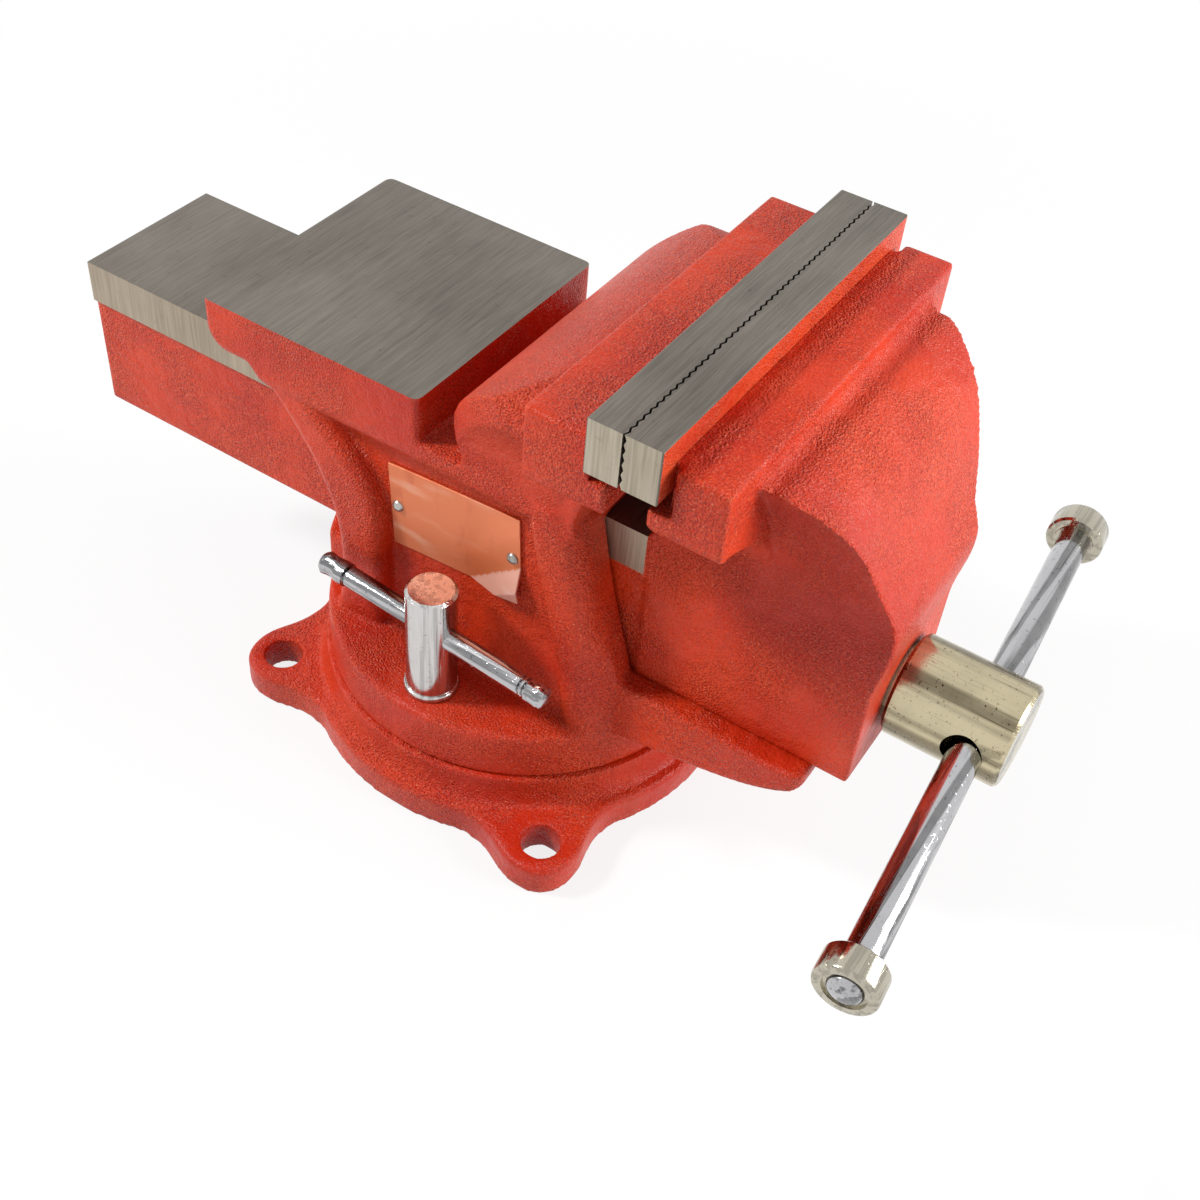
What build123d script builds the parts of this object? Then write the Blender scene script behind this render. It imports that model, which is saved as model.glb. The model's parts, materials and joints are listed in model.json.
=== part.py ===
from build123d import *
import os
from math import cos, radians, tan

# Bench vise with swivel base, millimetres, +Z up.
# Origin: swivel axis where the base meets the bench. The jaws lie along X, the slide along Y,
# and the handle end is toward -Y. The jaws are drawn closed.

# Further out than any face of the vise
FAR = 300.0

# Jaws
JAW_WIDTH = 150.0
JAW_LINE_Y = -75.2
JAW_TOP_Z = 206.5
PLATE_THICK = 12.0
PLATE_HEIGHT = 24.5
CASTING_HALF = 71.7
NECK_HALF = 62.0
FIXED_TOP_BELOW_PLATE = 8.9
MOVING_TOP_BELOW_PLATE = 7.7
FIXED_SILL_HEIGHT = 11.7
MOVING_SILL_HEIGHT = 9.0
FIXED_SILL_REACH = 5.8
MOVING_SILL_REACH = 4.6
FIXED_BLOCK_BACK_Y = -40.8
MOVING_BLOCK_FRONT_Y = -106.9
BLOCK_END_ROUND = 4.0
COVE_R = 5.0
SEAT_PAD_INSET = 5.0
SEAT_PAD_HEIGHT = 2.8
FIXED_HEAD_FRONT_Y = -46.0
HUMP_HALF = 46.5

# Jaw plate screws
JAW_SCREW_X = 45.0
JAW_SCREW_BELOW_TOP = 16.5
JAW_SCREW_R = 4.0
JAW_SCREW_HEAD_R = 6.5
JAW_SCREW_HEAD_LENGTH = 6.0
JAW_SCREW_HEAD_SUNK = 1.5
JAW_SCREW_INTO_CASTING = 13.0
HEX_SOCKET_ACROSS = 5.0
HEX_SOCKET_DEPTH = 3.0

# Slide
SLIDE_HALF = 31.3
SLIDE_INSET = 1.0
SLIDE_TOP_Z = 131.7
RIM_BOTTOM_Z = 115.4
SLIDE_BOTTOM_Z = 69.0
SLIDE_REAR_Y = 180.2
SLIDE_HOLLOW_HALF = 21.3
SLIDE_HOLLOW_TOP_Z = 117.0
COLUMN_REAR_Y = -65.4
COLUMN_WALL_INNER_Y = -128.0
COLUMN_FACE_Y = -146.4
SIDE_CLEARANCE = 0.3

# Vise body
WALL_HALF = 42.0
WALL_FLARE_Z = 125.0
ANVIL_HALF = 49.9
ANVIL_FRONT_Y = 13.0
ANVIL_REAR_Y = 102.8
ANVIL_TOP_Z = 159.5
ANVIL_BOTTOM_Z = 140.1
DECK_Z = 130.0
LEDGE_HALF = 39.5
TONGUE_TIP_Y = -134.0
REAR_RIB_OUT = 49.5
FRONT_RIB_OUT = 51.0

# Swivel
TURRET_R = 74.5
TURRET_BOTTOM_Z = 25.4
TURRET_TOP_Z = 45.8
FOOT_R = TURRET_R - 0.6
TURRET_HOLLOW_R = 46.0
TURRET_HOLLOW_TOP_Z = 37.0
SPIGOT_R = 20.0
SPIGOT_BOTTOM_Z = 13.0
RUN_CLEARANCE = 0.05

# Base
FLANGE_R = 82.6
FLANGE_TOP_Z = 13.1
SEAM_R = 76.3
LUG_COUNT = 4
LUG_FIRST_DEG = 38.6
LUG_HOLE_CIRCLE_R = 93.2
LUG_HOLE_R = 7.15
LUG_END_R = 13.6
RELIEF_R = 42.0
RELIEF_HUB_R = 27.0
RELIEF_TOP_Z = 16.0

# Swivel locks
LOCK_X = 59.7
LOCK_R = 9.1
LOCK_TOP_Z = 92.8
LOCK_SHANK_R = 6.0
WASHER_R = 11.5
WASHER_THICK = 2.5
LOCK_BAR_R = 3.9
LOCK_BAR_Z = 74.1
LOCK_BAR_LENGTH = 100.0
LOCK_BAR_YAW_DEG = 4.0
TNUT_SIDE = 20.0
TNUT_THICK = 9.0
SLOT_CAVITY_HALF = 11.8
SLOT_MOUTH_HALF = 6.5
SLOT_FLOOR_Z = 5.0
SLOT_LIP_Z = 16.5

# Screw and handle
SCREW_Z = 92.2
SCREW_R = 10.0
SCREW_REAR_Y = 160.0
HEAD_R = 18.0
HEAD_BACK_Y = -147.9
HEAD_FRONT_Y = -188.5
NECK_R = 14.0
HANDLE_Y = -175.5
HANDLE_LEAN_DEG = 4.0
HANDLE_R = 5.7
HANDLE_LENGTH = 228.8
HANDLE_SHIFT = -2.9
CAP_R = 10.3
CAP_LENGTH = 11.0
CAP_FROM_END = 1.3

# Screw nut and its bolt
NUT_HALF_WIDTH = 17.0
NUT_HALF_LENGTH = 22.0
NUT_SEAT_Z = 56.0
NUT_FOOT_TOP_Z = 65.0
NUT_FOOT_HALF_WIDTH = 19.0
NUT_FOOT_HALF_LENGTH = 28.0
NUT_BOLT_R = 6.0
NUT_BOLT_HEAD_ACROSS = 18.0
NUT_BOLT_HEAD_LENGTH = 8.0
NUT_BOLT_RECESS_R = 12.5
NUT_BOLT_RECESS_TOP_Z = 24.0
NUT_BOLT_TOP_Z = 76.0

# Thrust washer and split pin behind the front wall
THRUST_WASHER_R = 16.0
THRUST_WASHER_THICK = 3.0
SPLIT_PIN_R = 2.0
SPLIT_PIN_LENGTH = 30.0

# Name plate
NAME_PLATE_Y = 3.0
NAME_PLATE_Z = 104.9
NAME_PLATE_WIDTH = 54.0
NAME_PLATE_HEIGHT = 35.0
NAME_PLATE_THICK = 0.8
NAME_PLATE_TILT_DEG = 3.4
RIVET_SPREAD = 48.0
RIVET_HEAD_R = 2.3
RIVET_R = 1.3
RIVET_LENGTH = 6.0

FIXED_PLATE_BACK_Y = JAW_LINE_Y + PLATE_THICK
MOVING_PLATE_BACK_Y = JAW_LINE_Y - PLATE_THICK
PLATE_BOTTOM_Z = JAW_TOP_Z - PLATE_HEIGHT
JAW_SCREW_Z = JAW_TOP_Z - JAW_SCREW_BELOW_TOP
FIXED_BLOCK_TOP_Z = JAW_TOP_Z - FIXED_TOP_BELOW_PLATE
FIXED_BLOCK_BOTTOM_Z = PLATE_BOTTOM_Z - FIXED_SILL_HEIGHT
MOVING_BLOCK_TOP_Z = JAW_TOP_Z - MOVING_TOP_BELOW_PLATE
MOVING_BLOCK_BOTTOM_Z = PLATE_BOTTOM_Z - MOVING_SILL_HEIGHT
HANDLE_LEAN = radians(HANDLE_LEAN_DEG)
HANDLE_BORE_R = HANDLE_R / cos(HANDLE_LEAN) + HEAD_R * tan(HANDLE_LEAN) + RUN_CLEARANCE


def stations(start, end, *shares):
    """Points between two corners, each given by its share of the way along both axes."""
    return [(start[0] + (end[0] - start[0]) * u, start[1] + (end[1] - start[1]) * v) for u, v in shares]


def side_prism(face, x_from, x_to):
    """Extrude a face drawn in (y, z) from x_from to x_to."""
    return Pos(x_from, 0, 0) * extrude(Plane.YZ * face, amount=x_to - x_from)


def front_prism(face, y_from, y_to):
    """Extrude a face drawn in (x, z) from y_from to y_to."""
    return Pos(0, y_to, 0) * extrude(Plane.XZ * face, amount=y_to - y_from)


def mirrored_face(right_edge):
    """Close an edge chain on the +X side with its mirror image."""
    return make_face(right_edge + mirror(right_edge, Plane.YZ))


def both_sides(shape):
    """Return a shape together with its mirror image across the middle plane."""
    return shape + mirror(shape, Plane.YZ)


def y_cylinder(radius, y_from, y_to, x, z):
    """Cylinder along Y."""
    return Pos(x, (y_from + y_to) / 2, z) * Rot(90, 0, 0) * Cylinder(radius, y_to - y_from)


def z_cylinder(radius, z_from, z_to, x=0.0, y=0.0):
    """Cylinder along Z."""
    return Pos(x, y, (z_from + z_to) / 2) * Cylinder(radius, z_to - z_from)


def span_box(x_from, x_to, y_from, y_to, z_from, z_to):
    """Box between two corners."""
    centre = Pos((x_from + x_to) / 2, (y_from + y_to) / 2, (z_from + z_to) / 2)
    return centre * Box(x_to - x_from, y_to - y_from, z_to - z_from)


def rear_edge():
    """Rear outline of the body wall, sweeping up under the anvil."""
    return Spline((54, 40), (51, 60), (50.4, 76), (54, 96), (61.5, 112), (73, 127.5), (86, 142))


def front_edge():
    """Front outline of the body wall, from the jaw down to the turret."""
    return Spline((-46, 142), (-50.3, 122), (-55.5, 100), (-61.8, 80), (-67, 60), (-70, 40))


def housing():
    """Walls and deck round the slide, narrow below and as wide as the anvil above."""
    side = make_face(front_edge() + Line((-70, 40), (54, 40)) + rear_edge() + Line((86, 142), (-46, 142)))
    flank = Line((0, 40), (WALL_HALF + 6, 40)) + Spline(
        (WALL_HALF + 6, 40), (WALL_HALF + 1, 54), (WALL_HALF, 70), tangents=((-0.3, 1), (0, 1))
    )
    flank += Line((WALL_HALF, 70), (WALL_HALF, WALL_FLARE_Z))
    flank += Spline((WALL_HALF, WALL_FLARE_Z), (ANVIL_HALF, 138), tangents=((0, 1), (0, 1)))
    flank += Line((ANVIL_HALF, 138), (ANVIL_HALF, 145)) + Line((ANVIL_HALF, 145), (0, 145))
    return side_prism(side, -ANVIL_HALF - 5, ANVIL_HALF + 5) & front_prism(mirrored_face(flank), -90, 120)


def anvil():
    """Flat striking block over the rear of the slide."""
    block = span_box(-ANVIL_HALF, ANVIL_HALF, ANVIL_FRONT_Y, ANVIL_REAR_Y, ANVIL_BOTTOM_Z, ANVIL_TOP_Z)
    rear_bottom = block.edges().filter_by(Axis.X).group_by(Axis.Y)[-1].sort_by(Axis.Z)[0]
    block = fillet(rear_bottom, 9)
    corners = block.edges().filter_by(Axis.Z)
    return fillet(corners, 2.5)


def front_rib():
    """Rounded rib from the fixed jaw down to the front of the turret, near side."""
    inner = Spline((-46, 40), (-43.5, 62), (-41, 75), (-37.5, 90), (-33.5, 106), (-29, 124), (-26, 142))
    face = make_face(inner + Line((-26, 142), (-46, 142)) + front_edge() + Line((-70, 40), (-46, 40)))
    rib = side_prism(face, -FRONT_RIB_OUT, -WALL_HALF + 3)
    rib = fillet(crest_edges(rib)[-1], 10)
    rib = fillet(crest_edges(rib)[0], 8)
    rib = rib & z_cylinder(FOOT_R, 30, 160)
    toe = rib.edges().filter_by(
        lambda e: on_round(e, FOOT_R) and e.center().X < -WALL_HALF + 2 and e.center().Z > TURRET_TOP_Z
    )
    return fillet(toe, 7)


def crest_edges(rib):
    """Long edges of a rib's outermost face, front one first."""
    return rib.faces().sort_by(Axis.X)[0].edges().filter_by(lambda e: e.length > 60).sort_by(Axis.Y)


def on_round(edge, radius):
    """Tell whether an edge lies on the cylinder of a radius about the swivel axis."""
    spots = [edge.position_at(share) for share in (0.0, 0.3, 0.7, 1.0)]
    return all(abs(Vector(spot.X, spot.Y, 0).length - radius) < 0.01 for spot in spots)


def rear_rib():
    """Bracket rib under the anvil, near side."""
    inner = Spline((31, 40), (30.5, 60), (30.3, 85), (31.5, 100), (38, 114), (50, 127.5), (63, 142))
    face = make_face(rear_edge() + Line((86, 142), (63, 142)) + inner + Line((31, 40), (54, 40)))
    rib = side_prism(face, -REAR_RIB_OUT, -WALL_HALF + 3)
    return fillet(crest_edges(rib), 5)


def fixed_jaw_head():
    """Upright of the fixed jaw: a wide block on a narrower neck, with a sill under its plate."""
    bottom = FIXED_BLOCK_BOTTOM_Z
    sill_front = FIXED_PLATE_BACK_Y - FIXED_SILL_REACH
    edge = Polyline((0, DECK_Z), (ANVIL_HALF, DECK_Z), (ANVIL_HALF, DECK_Z + 16))
    edge += Spline(
        (ANVIL_HALF, DECK_Z + 16),
        (ANVIL_HALF + 2.5, bottom - 8),
        (NECK_HALF, bottom),
        tangents=((0, 1), (1, 0.25)),
    )
    edge += Polyline(
        (NECK_HALF, bottom),
        (CASTING_HALF, bottom),
        (CASTING_HALF, FIXED_BLOCK_TOP_Z),
        (0, FIXED_BLOCK_TOP_Z),
    )
    foot = (FIXED_HEAD_FRONT_Y, DECK_Z)
    lip = (sill_front + 1.5, bottom)
    throat = Spline(foot, *stations(foot, lip, (0.12, 0.42), (0.42, 0.75)), lip, tangents=((0, 1), (-1, 0.5)))
    side = make_face(
        throat
        + Polyline(
            lip,
            (sill_front, bottom + 2),
            (sill_front, PLATE_BOTTOM_Z),
            (FIXED_PLATE_BACK_Y, PLATE_BOTTOM_Z),
            (FIXED_PLATE_BACK_Y, FIXED_BLOCK_TOP_Z),
            (FIXED_BLOCK_BACK_Y, FIXED_BLOCK_TOP_Z),
            (FIXED_BLOCK_BACK_Y, DECK_Z),
            foot,
        )
    )
    head = front_prism(mirrored_face(edge), -100, 0) & side_prism(side, -FAR, FAR)
    lower_ends = head.edges().filter_by(Axis.Y).filter_by(
        lambda e: abs(e.center().Z - bottom) < 0.1 and abs(e.center().X) > CASTING_HALF - 0.1
    )
    return fillet(lower_ends, BLOCK_END_ROUND)


def hump():
    """Rounded fan that backs up the fixed jaw, down to the gap in front of the anvil."""
    foot = (ANVIL_FRONT_Y - 14, ANVIL_TOP_Z + 0.5)
    crown = (FIXED_BLOCK_BACK_Y - 1, FIXED_BLOCK_TOP_Z - 6.1)
    back = Spline(foot, *stations(foot, crown, (0.09, 0.28), (0.27, 0.54), (0.47, 0.74), (0.69, 0.89)), crown)
    base = (ANVIL_FRONT_Y - 18, DECK_Z + 5)
    side = make_face(back + Polyline(crown, (crown[0], base[1]), base, (base[0] + 1.5, base[1] + 13), foot))
    near = (HUMP_HALF, ANVIL_FRONT_Y - 3)
    wide = (CASTING_HALF - 5.7, FIXED_BLOCK_BACK_Y - 2)
    plan_edge = Line((0, near[1]), near) + Spline(
        near, *stations(near, wide, (0.16, 0.19), (0.44, 0.38), (0.68, 0.57), (0.86, 0.76)), wide
    )
    plan_edge += Line(wide, (0, wide[1]))
    plan = extrude(mirrored_face(plan_edge), amount=FAR)
    low = (ANVIL_HALF, DECK_Z)
    shoulder = (CASTING_HALF - 9.7, FIXED_BLOCK_TOP_Z - 18.6)
    over = (shoulder[0] - 22, FIXED_BLOCK_TOP_Z - 7.1)
    rising = stations(low, shoulder, (0, 0.31), (0.26, 0.59), (0.71, 0.82))
    turning = stations(shoulder, over, (0.06, 0.46), (0.34, 0.82))
    fan_edge = Line((0, DECK_Z), low) + Spline(low, *rising, shoulder, *turning, over)
    fan_edge += Line(over, (0, over[1]))
    return side_prism(side, -FAR, FAR) & plan & front_prism(mirrored_face(fan_edge), -100, 100)


def ledge():
    """Floor under the slide with the tongue that reaches forward of the turret."""
    under = Spline((-60, 42), (-82, 46.5), (-100, 49.5), (-119, 54.7), (-128, 59), (TONGUE_TIP_Y, 63))
    side = make_face(
        Polyline(
            (TONGUE_TIP_Y, 63),
            (TONGUE_TIP_Y, SLIDE_BOTTOM_Z),
            (80, SLIDE_BOTTOM_Z),
            (80, 40),
            (-60, 40),
            (-60, 42),
        )
        + under
    )
    floor = side_prism(side, -LEDGE_HALF, LEDGE_HALF)
    front_ends = floor.edges().filter_by(Axis.Z).group_by(Axis.Y)[0]
    floor = fillet(front_ends, 5)
    return floor - (span_box(-60, 60, 0, 100, 30, 90) - z_cylinder(FOOT_R, 20, 99))


def body_solid():
    """Whole body casting before any hole is cut."""
    turret = z_cylinder(TURRET_R, TURRET_BOTTOM_Z, TURRET_TOP_Z)
    turret = fillet(turret.edges().group_by(Axis.Z)[-1], 2)
    foot = z_cylinder(FOOT_R, 30, SLIDE_BOTTOM_Z + 1)
    foot += span_box(-FAR, FAR, -FAR, FAR, SLIDE_BOTTOM_Z + 0.5, FAR)
    ribs = both_sides(front_rib()) + both_sides(rear_rib())
    solid = turret + ledge()
    solid += housing() & foot
    solid += ribs
    solid += anvil()
    solid += hump()
    solid += fixed_jaw_head()
    return solid + z_cylinder(SPIGOT_R, SPIGOT_BOTTOM_Z, TURRET_BOTTOM_Z + 5)


def body_cuts():
    """Everything taken out of the body casting."""
    side = SLIDE_HALF + SIDE_CLEARANCE
    cuts = span_box(-side, side, -150, 120, SLIDE_BOTTOM_Z, SLIDE_TOP_Z + SIDE_CLEARANCE)
    half_x = NUT_FOOT_HALF_WIDTH + 0.5
    half_y = NUT_FOOT_HALF_LENGTH + 0.5
    cuts += span_box(-half_x, half_x, -half_y, half_y, NUT_SEAT_Z, SLIDE_BOTTOM_Z + 1)
    cuts += z_cylinder(NUT_BOLT_R + 0.5, SPIGOT_BOTTOM_Z - 1, NUT_SEAT_Z + 1)
    cuts += z_cylinder(NUT_BOLT_RECESS_R, SPIGOT_BOTTOM_Z - 1, NUT_BOLT_RECESS_TOP_Z)
    hollow = z_cylinder(TURRET_HOLLOW_R, TURRET_BOTTOM_Z - 1, TURRET_HOLLOW_TOP_Z)
    hollow -= z_cylinder(SPIGOT_R + 5, 0, TURRET_TOP_Z)
    cuts += fillet(hollow.edges().group_by(Axis.Z)[-1], 4)
    for x in (-LOCK_X, LOCK_X):
        cuts += z_cylinder(LOCK_SHANK_R + RUN_CLEARANCE, TURRET_BOTTOM_Z - 1, TURRET_TOP_Z + 1, x)
    for x in (-JAW_SCREW_X, JAW_SCREW_X):
        end_y = FIXED_PLATE_BACK_Y + JAW_SCREW_INTO_CASTING + 1
        cuts += y_cylinder(JAW_SCREW_R + RUN_CLEARANCE, FIXED_PLATE_BACK_Y - 1, end_y, x, JAW_SCREW_Z)
    return cuts + rivet_shapes(RIVET_R, RIVET_LENGTH, 0.5)


def vise_body():
    """Body casting: fixed jaw, anvil, walls round the slide, turret and spigot."""
    return body_solid() - body_cuts()


def on_name_plate(y, z):
    """Place on the near wall: local Z points outward, local X toward the rear."""
    turn = Plane(origin=(-WALL_HALF, NAME_PLATE_Y, NAME_PLATE_Z), x_dir=(0, 1, 0), z_dir=(-1, 0, 0))
    return turn.location * Rot(0, 0, NAME_PLATE_TILT_DEG) * Pos(y, z, 0)


def rivet_shapes(radius, depth, proud=0.0):
    """Rivet shanks through the name plate into the wall."""
    shanks = [
        on_name_plate(y, 0) * Pos(0, 0, (proud - depth) / 2) * Cylinder(radius, depth + proud)
        for y in (-RIVET_SPREAD / 2, RIVET_SPREAD / 2)
    ]
    return shanks[0] + shanks[1]


def name_plate():
    """Thin sheet plate, left bare."""
    sheet = on_name_plate(0, 0) * Pos(0, 0, NAME_PLATE_THICK / 2) * Box(
        NAME_PLATE_WIDTH, NAME_PLATE_HEIGHT, NAME_PLATE_THICK
    )
    return sheet - rivet_shapes(RIVET_R + RUN_CLEARANCE, 1, NAME_PLATE_THICK + 1)


def name_plate_rivets():
    """Two round-head rivets."""
    rivets = rivet_shapes(RIVET_R, RIVET_LENGTH, NAME_PLATE_THICK + 0.5)
    dome = Sphere(RIVET_HEAD_R) & (Pos(0, 0, RIVET_HEAD_R) * Box(9, 9, 2 * RIVET_HEAD_R))
    for y in (-RIVET_SPREAD / 2, RIVET_SPREAD / 2):
        rivets += on_name_plate(y, 0) * Pos(0, 0, NAME_PLATE_THICK) * scale(dome, by=(1, 1, 0.75))
    return rivets


def jaw_plate(toward):
    """Hardened jaw plate. toward is +1 for the fixed jaw's plate and -1 for the moving jaw's."""
    back = JAW_LINE_Y + toward * PLATE_THICK
    plate = span_box(
        -JAW_WIDTH / 2, JAW_WIDTH / 2, min(JAW_LINE_Y, back), max(JAW_LINE_Y, back), PLATE_BOTTOM_Z, JAW_TOP_Z
    )
    plate = chamfer(plate.edges(), 0.4)
    for x in (-JAW_SCREW_X, JAW_SCREW_X):
        sunk = JAW_SCREW_HEAD_SUNK + JAW_SCREW_HEAD_LENGTH
        plate -= along_y(JAW_SCREW_HEAD_R + 0.3, JAW_LINE_Y - toward, JAW_LINE_Y + toward * sunk, x)
        plate -= along_y(JAW_SCREW_R + 0.3, JAW_LINE_Y, back + toward, x)
    return plate


def along_y(radius, y_a, y_b, x):
    """Cylinder along Y at the height of the jaw plate screws, ends given in any order."""
    return y_cylinder(radius, min(y_a, y_b), max(y_a, y_b), x, JAW_SCREW_Z)


def jaw_screws(toward):
    """Pair of socket head screws that hold one jaw plate."""
    head_face = JAW_LINE_Y + toward * JAW_SCREW_HEAD_SUNK
    head_back = head_face + toward * JAW_SCREW_HEAD_LENGTH
    tip = JAW_LINE_Y + toward * (PLATE_THICK + JAW_SCREW_INTO_CASTING)
    pair = []
    for x in (-JAW_SCREW_X, JAW_SCREW_X):
        screw = along_y(JAW_SCREW_HEAD_R, head_face, head_back, x)
        screw += along_y(JAW_SCREW_R, head_back, tip, x)
        hexagon = RegularPolygon(HEX_SOCKET_ACROSS / 2, 6, major_radius=False)
        socket = extrude(hexagon, HEX_SOCKET_DEPTH, both=True)
        screw -= Pos(x, head_face, JAW_SCREW_Z) * Rot(90, 0, 0) * socket
        pair.append(screw)
    return pair[0] + pair[1]


def slide_bar():
    """Inverted U bar with a wider machined rim along its top."""
    low = SLIDE_HALF - SLIDE_INSET
    rim = RIM_BOTTOM_Z
    edge = Polyline(
        (0, SLIDE_BOTTOM_Z),
        (low, SLIDE_BOTTOM_Z),
        (low, rim),
        (SLIDE_HALF, rim),
        (SLIDE_HALF, SLIDE_TOP_Z),
        (0, SLIDE_TOP_Z),
    )
    return front_prism(mirrored_face(edge), COLUMN_REAR_Y - 5, SLIDE_REAR_Y)


def moving_upright():
    """Upright of the sliding jaw: flat sides below, domed fan above, flat where it meets the block."""
    chin = (COLUMN_FACE_Y - 2.8, SLIDE_TOP_Z + 4.3)
    crown = (MOVING_BLOCK_FRONT_Y - COVE_R, MOVING_BLOCK_TOP_Z - 7.3)
    cove_top = (MOVING_BLOCK_FRONT_Y, crown[1] + COVE_R)
    shares = ((0.1, 0.18), (0.19, 0.35), (0.32, 0.585), (0.5, 0.79), (0.74, 0.93))
    dome = Spline(chin, *stations(chin, crown, *shares), crown, tangents=((0.1, 1), (1, 0.05)))
    inside = MOVING_PLATE_BACK_Y - SEAT_PAD_HEIGHT - 6
    brow = (COLUMN_FACE_Y, RIM_BOTTOM_Z - 7.4)
    low_front = Spline(brow, (COLUMN_FACE_Y - 0.9, RIM_BOTTOM_Z + 1.6), chin, tangents=((0, 1), (0.1, 1)))
    foot = (COLUMN_REAR_Y, SLIDE_TOP_Z - 0.7)
    nape = (MOVING_PLATE_BACK_Y - 1, MOVING_BLOCK_BOTTOM_Z + 1)
    bow = stations(foot, nape, (0.12, 0.35), (0.6, 0.72))
    throat = Spline(foot, *bow, nape, tangents=((0, 1), (-0.3, 1)))
    side = make_face(
        Line((COLUMN_FACE_Y, SLIDE_BOTTOM_Z), brow)
        + low_front
        + dome
        + TangentArc(crown, cove_top, tangent=(1, 0))
        + Polyline(cove_top, (inside, cove_top[1]), (inside, nape[1]), nape)
        + throat
        + Polyline(foot, (COLUMN_REAR_Y, SLIDE_BOTTOM_Z), (COLUMN_FACE_Y, SLIDE_BOTTOM_Z))
    )
    hip = (SLIDE_HALF, SLIDE_TOP_Z + 8.3)
    wing = (NECK_HALF, MOVING_BLOCK_TOP_Z - 0.8)
    fan_edge = Polyline((0, SLIDE_BOTTOM_Z - 9), (SLIDE_HALF, SLIDE_BOTTOM_Z - 9), hip)
    swell = stations(hip, wing, (0.15, 0.264), (0.3, 0.49), (0.49, 0.68), (0.69, 0.83))
    fan_edge += Spline(hip, *swell, wing, tangents=((0, 1), (1, 1)))
    fan_edge += Line(wing, (0, wing[1]))
    return side_prism(side, -FAR, FAR) & front_prism(mirrored_face(fan_edge), -FAR, 0)


def moving_head():
    """Wide block at the top of the sliding jaw with the sill and the raised seat for its plate."""
    bottom = MOVING_BLOCK_BOTTOM_Z
    top = MOVING_BLOCK_TOP_Z
    seat = MOVING_PLATE_BACK_Y - SEAT_PAD_HEIGHT
    neck = (SLIDE_HALF + 4.5, bottom - 24)
    shoulder = (CASTING_HALF - BLOCK_END_ROUND - 1.5, bottom)
    edge = Line((0, neck[1]), neck)
    edge += Spline(neck, *stations(neck, shoulder, (0.15, 0.35), (0.36, 0.6), (0.67, 0.84)), shoulder)
    edge += Polyline(shoulder, (CASTING_HALF, bottom), (CASTING_HALF, top), (0, top))
    sill = MOVING_PLATE_BACK_Y + MOVING_SILL_REACH
    side = make_face(
        Polyline(
            (MOVING_BLOCK_FRONT_Y, neck[1]),
            (MOVING_BLOCK_FRONT_Y, top),
            (seat, top),
            (seat, PLATE_BOTTOM_Z),
            (sill, PLATE_BOTTOM_Z),
            (sill, bottom + 3),
            (sill - 3, bottom),
            (seat, bottom),
            (seat, neck[1]),
            (MOVING_BLOCK_FRONT_Y, neck[1]),
        )
    )
    block = front_prism(mirrored_face(edge), -FAR, 0) & side_prism(side, -FAR, FAR)
    lower_ends = block.edges().filter_by(Axis.Y).filter_by(
        lambda e: abs(e.center().Z - bottom) < 0.1 and abs(e.center().X) > CASTING_HALF - 0.1
    )
    block = fillet(lower_ends, BLOCK_END_ROUND)
    half = CASTING_HALF - SEAT_PAD_INSET
    return block + span_box(-half, half, seat - 1, MOVING_PLATE_BACK_Y, PLATE_BOTTOM_Z - 1, top - 0.7)


def sliding_jaw():
    """Sliding jaw casting with its hollow slide bar."""
    solid = slide_bar() + moving_upright() + moving_head()
    solid -= span_box(
        -SLIDE_HOLLOW_HALF,
        SLIDE_HOLLOW_HALF,
        COLUMN_WALL_INNER_Y,
        SLIDE_REAR_Y + 5,
        SLIDE_BOTTOM_Z - 5,
        SLIDE_HOLLOW_TOP_Z,
    )
    solid -= y_cylinder(SCREW_R + RUN_CLEARANCE, -170, COLUMN_WALL_INNER_Y + 2, 0, SCREW_Z)
    for x in (-JAW_SCREW_X, JAW_SCREW_X):
        end_y = MOVING_PLATE_BACK_Y - JAW_SCREW_INTO_CASTING - 1
        solid -= along_y(JAW_SCREW_R + RUN_CLEARANCE, end_y, -80, x)
    return solid


def lug_face():
    """Outline of one lug, pointing along +X, flaring into the flange rim."""
    tip = LUG_HOLE_CIRCLE_R + LUG_END_R
    flare = ((0.618, 0.459), (0.688, 0.337), (0.749, 0.236))
    nose = ((0.836, 0.166), (0.924, 0.122), (0.979, 0.064))
    half = stations((0, 0), (tip, tip), *flare, *nose)
    points = half + [(tip, 0)] + [(x, -y) for x, y in reversed(half)]
    root_x, root_y = half[0]
    return make_face(Spline(*points) + Polyline((root_x, -root_y), (root_x - 6, 0), (root_x, root_y)))


def lug_angles():
    """Angles of the lugs about the swivel axis."""
    return [LUG_FIRST_DEG + 360 / LUG_COUNT * i for i in range(LUG_COUNT)]


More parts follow.
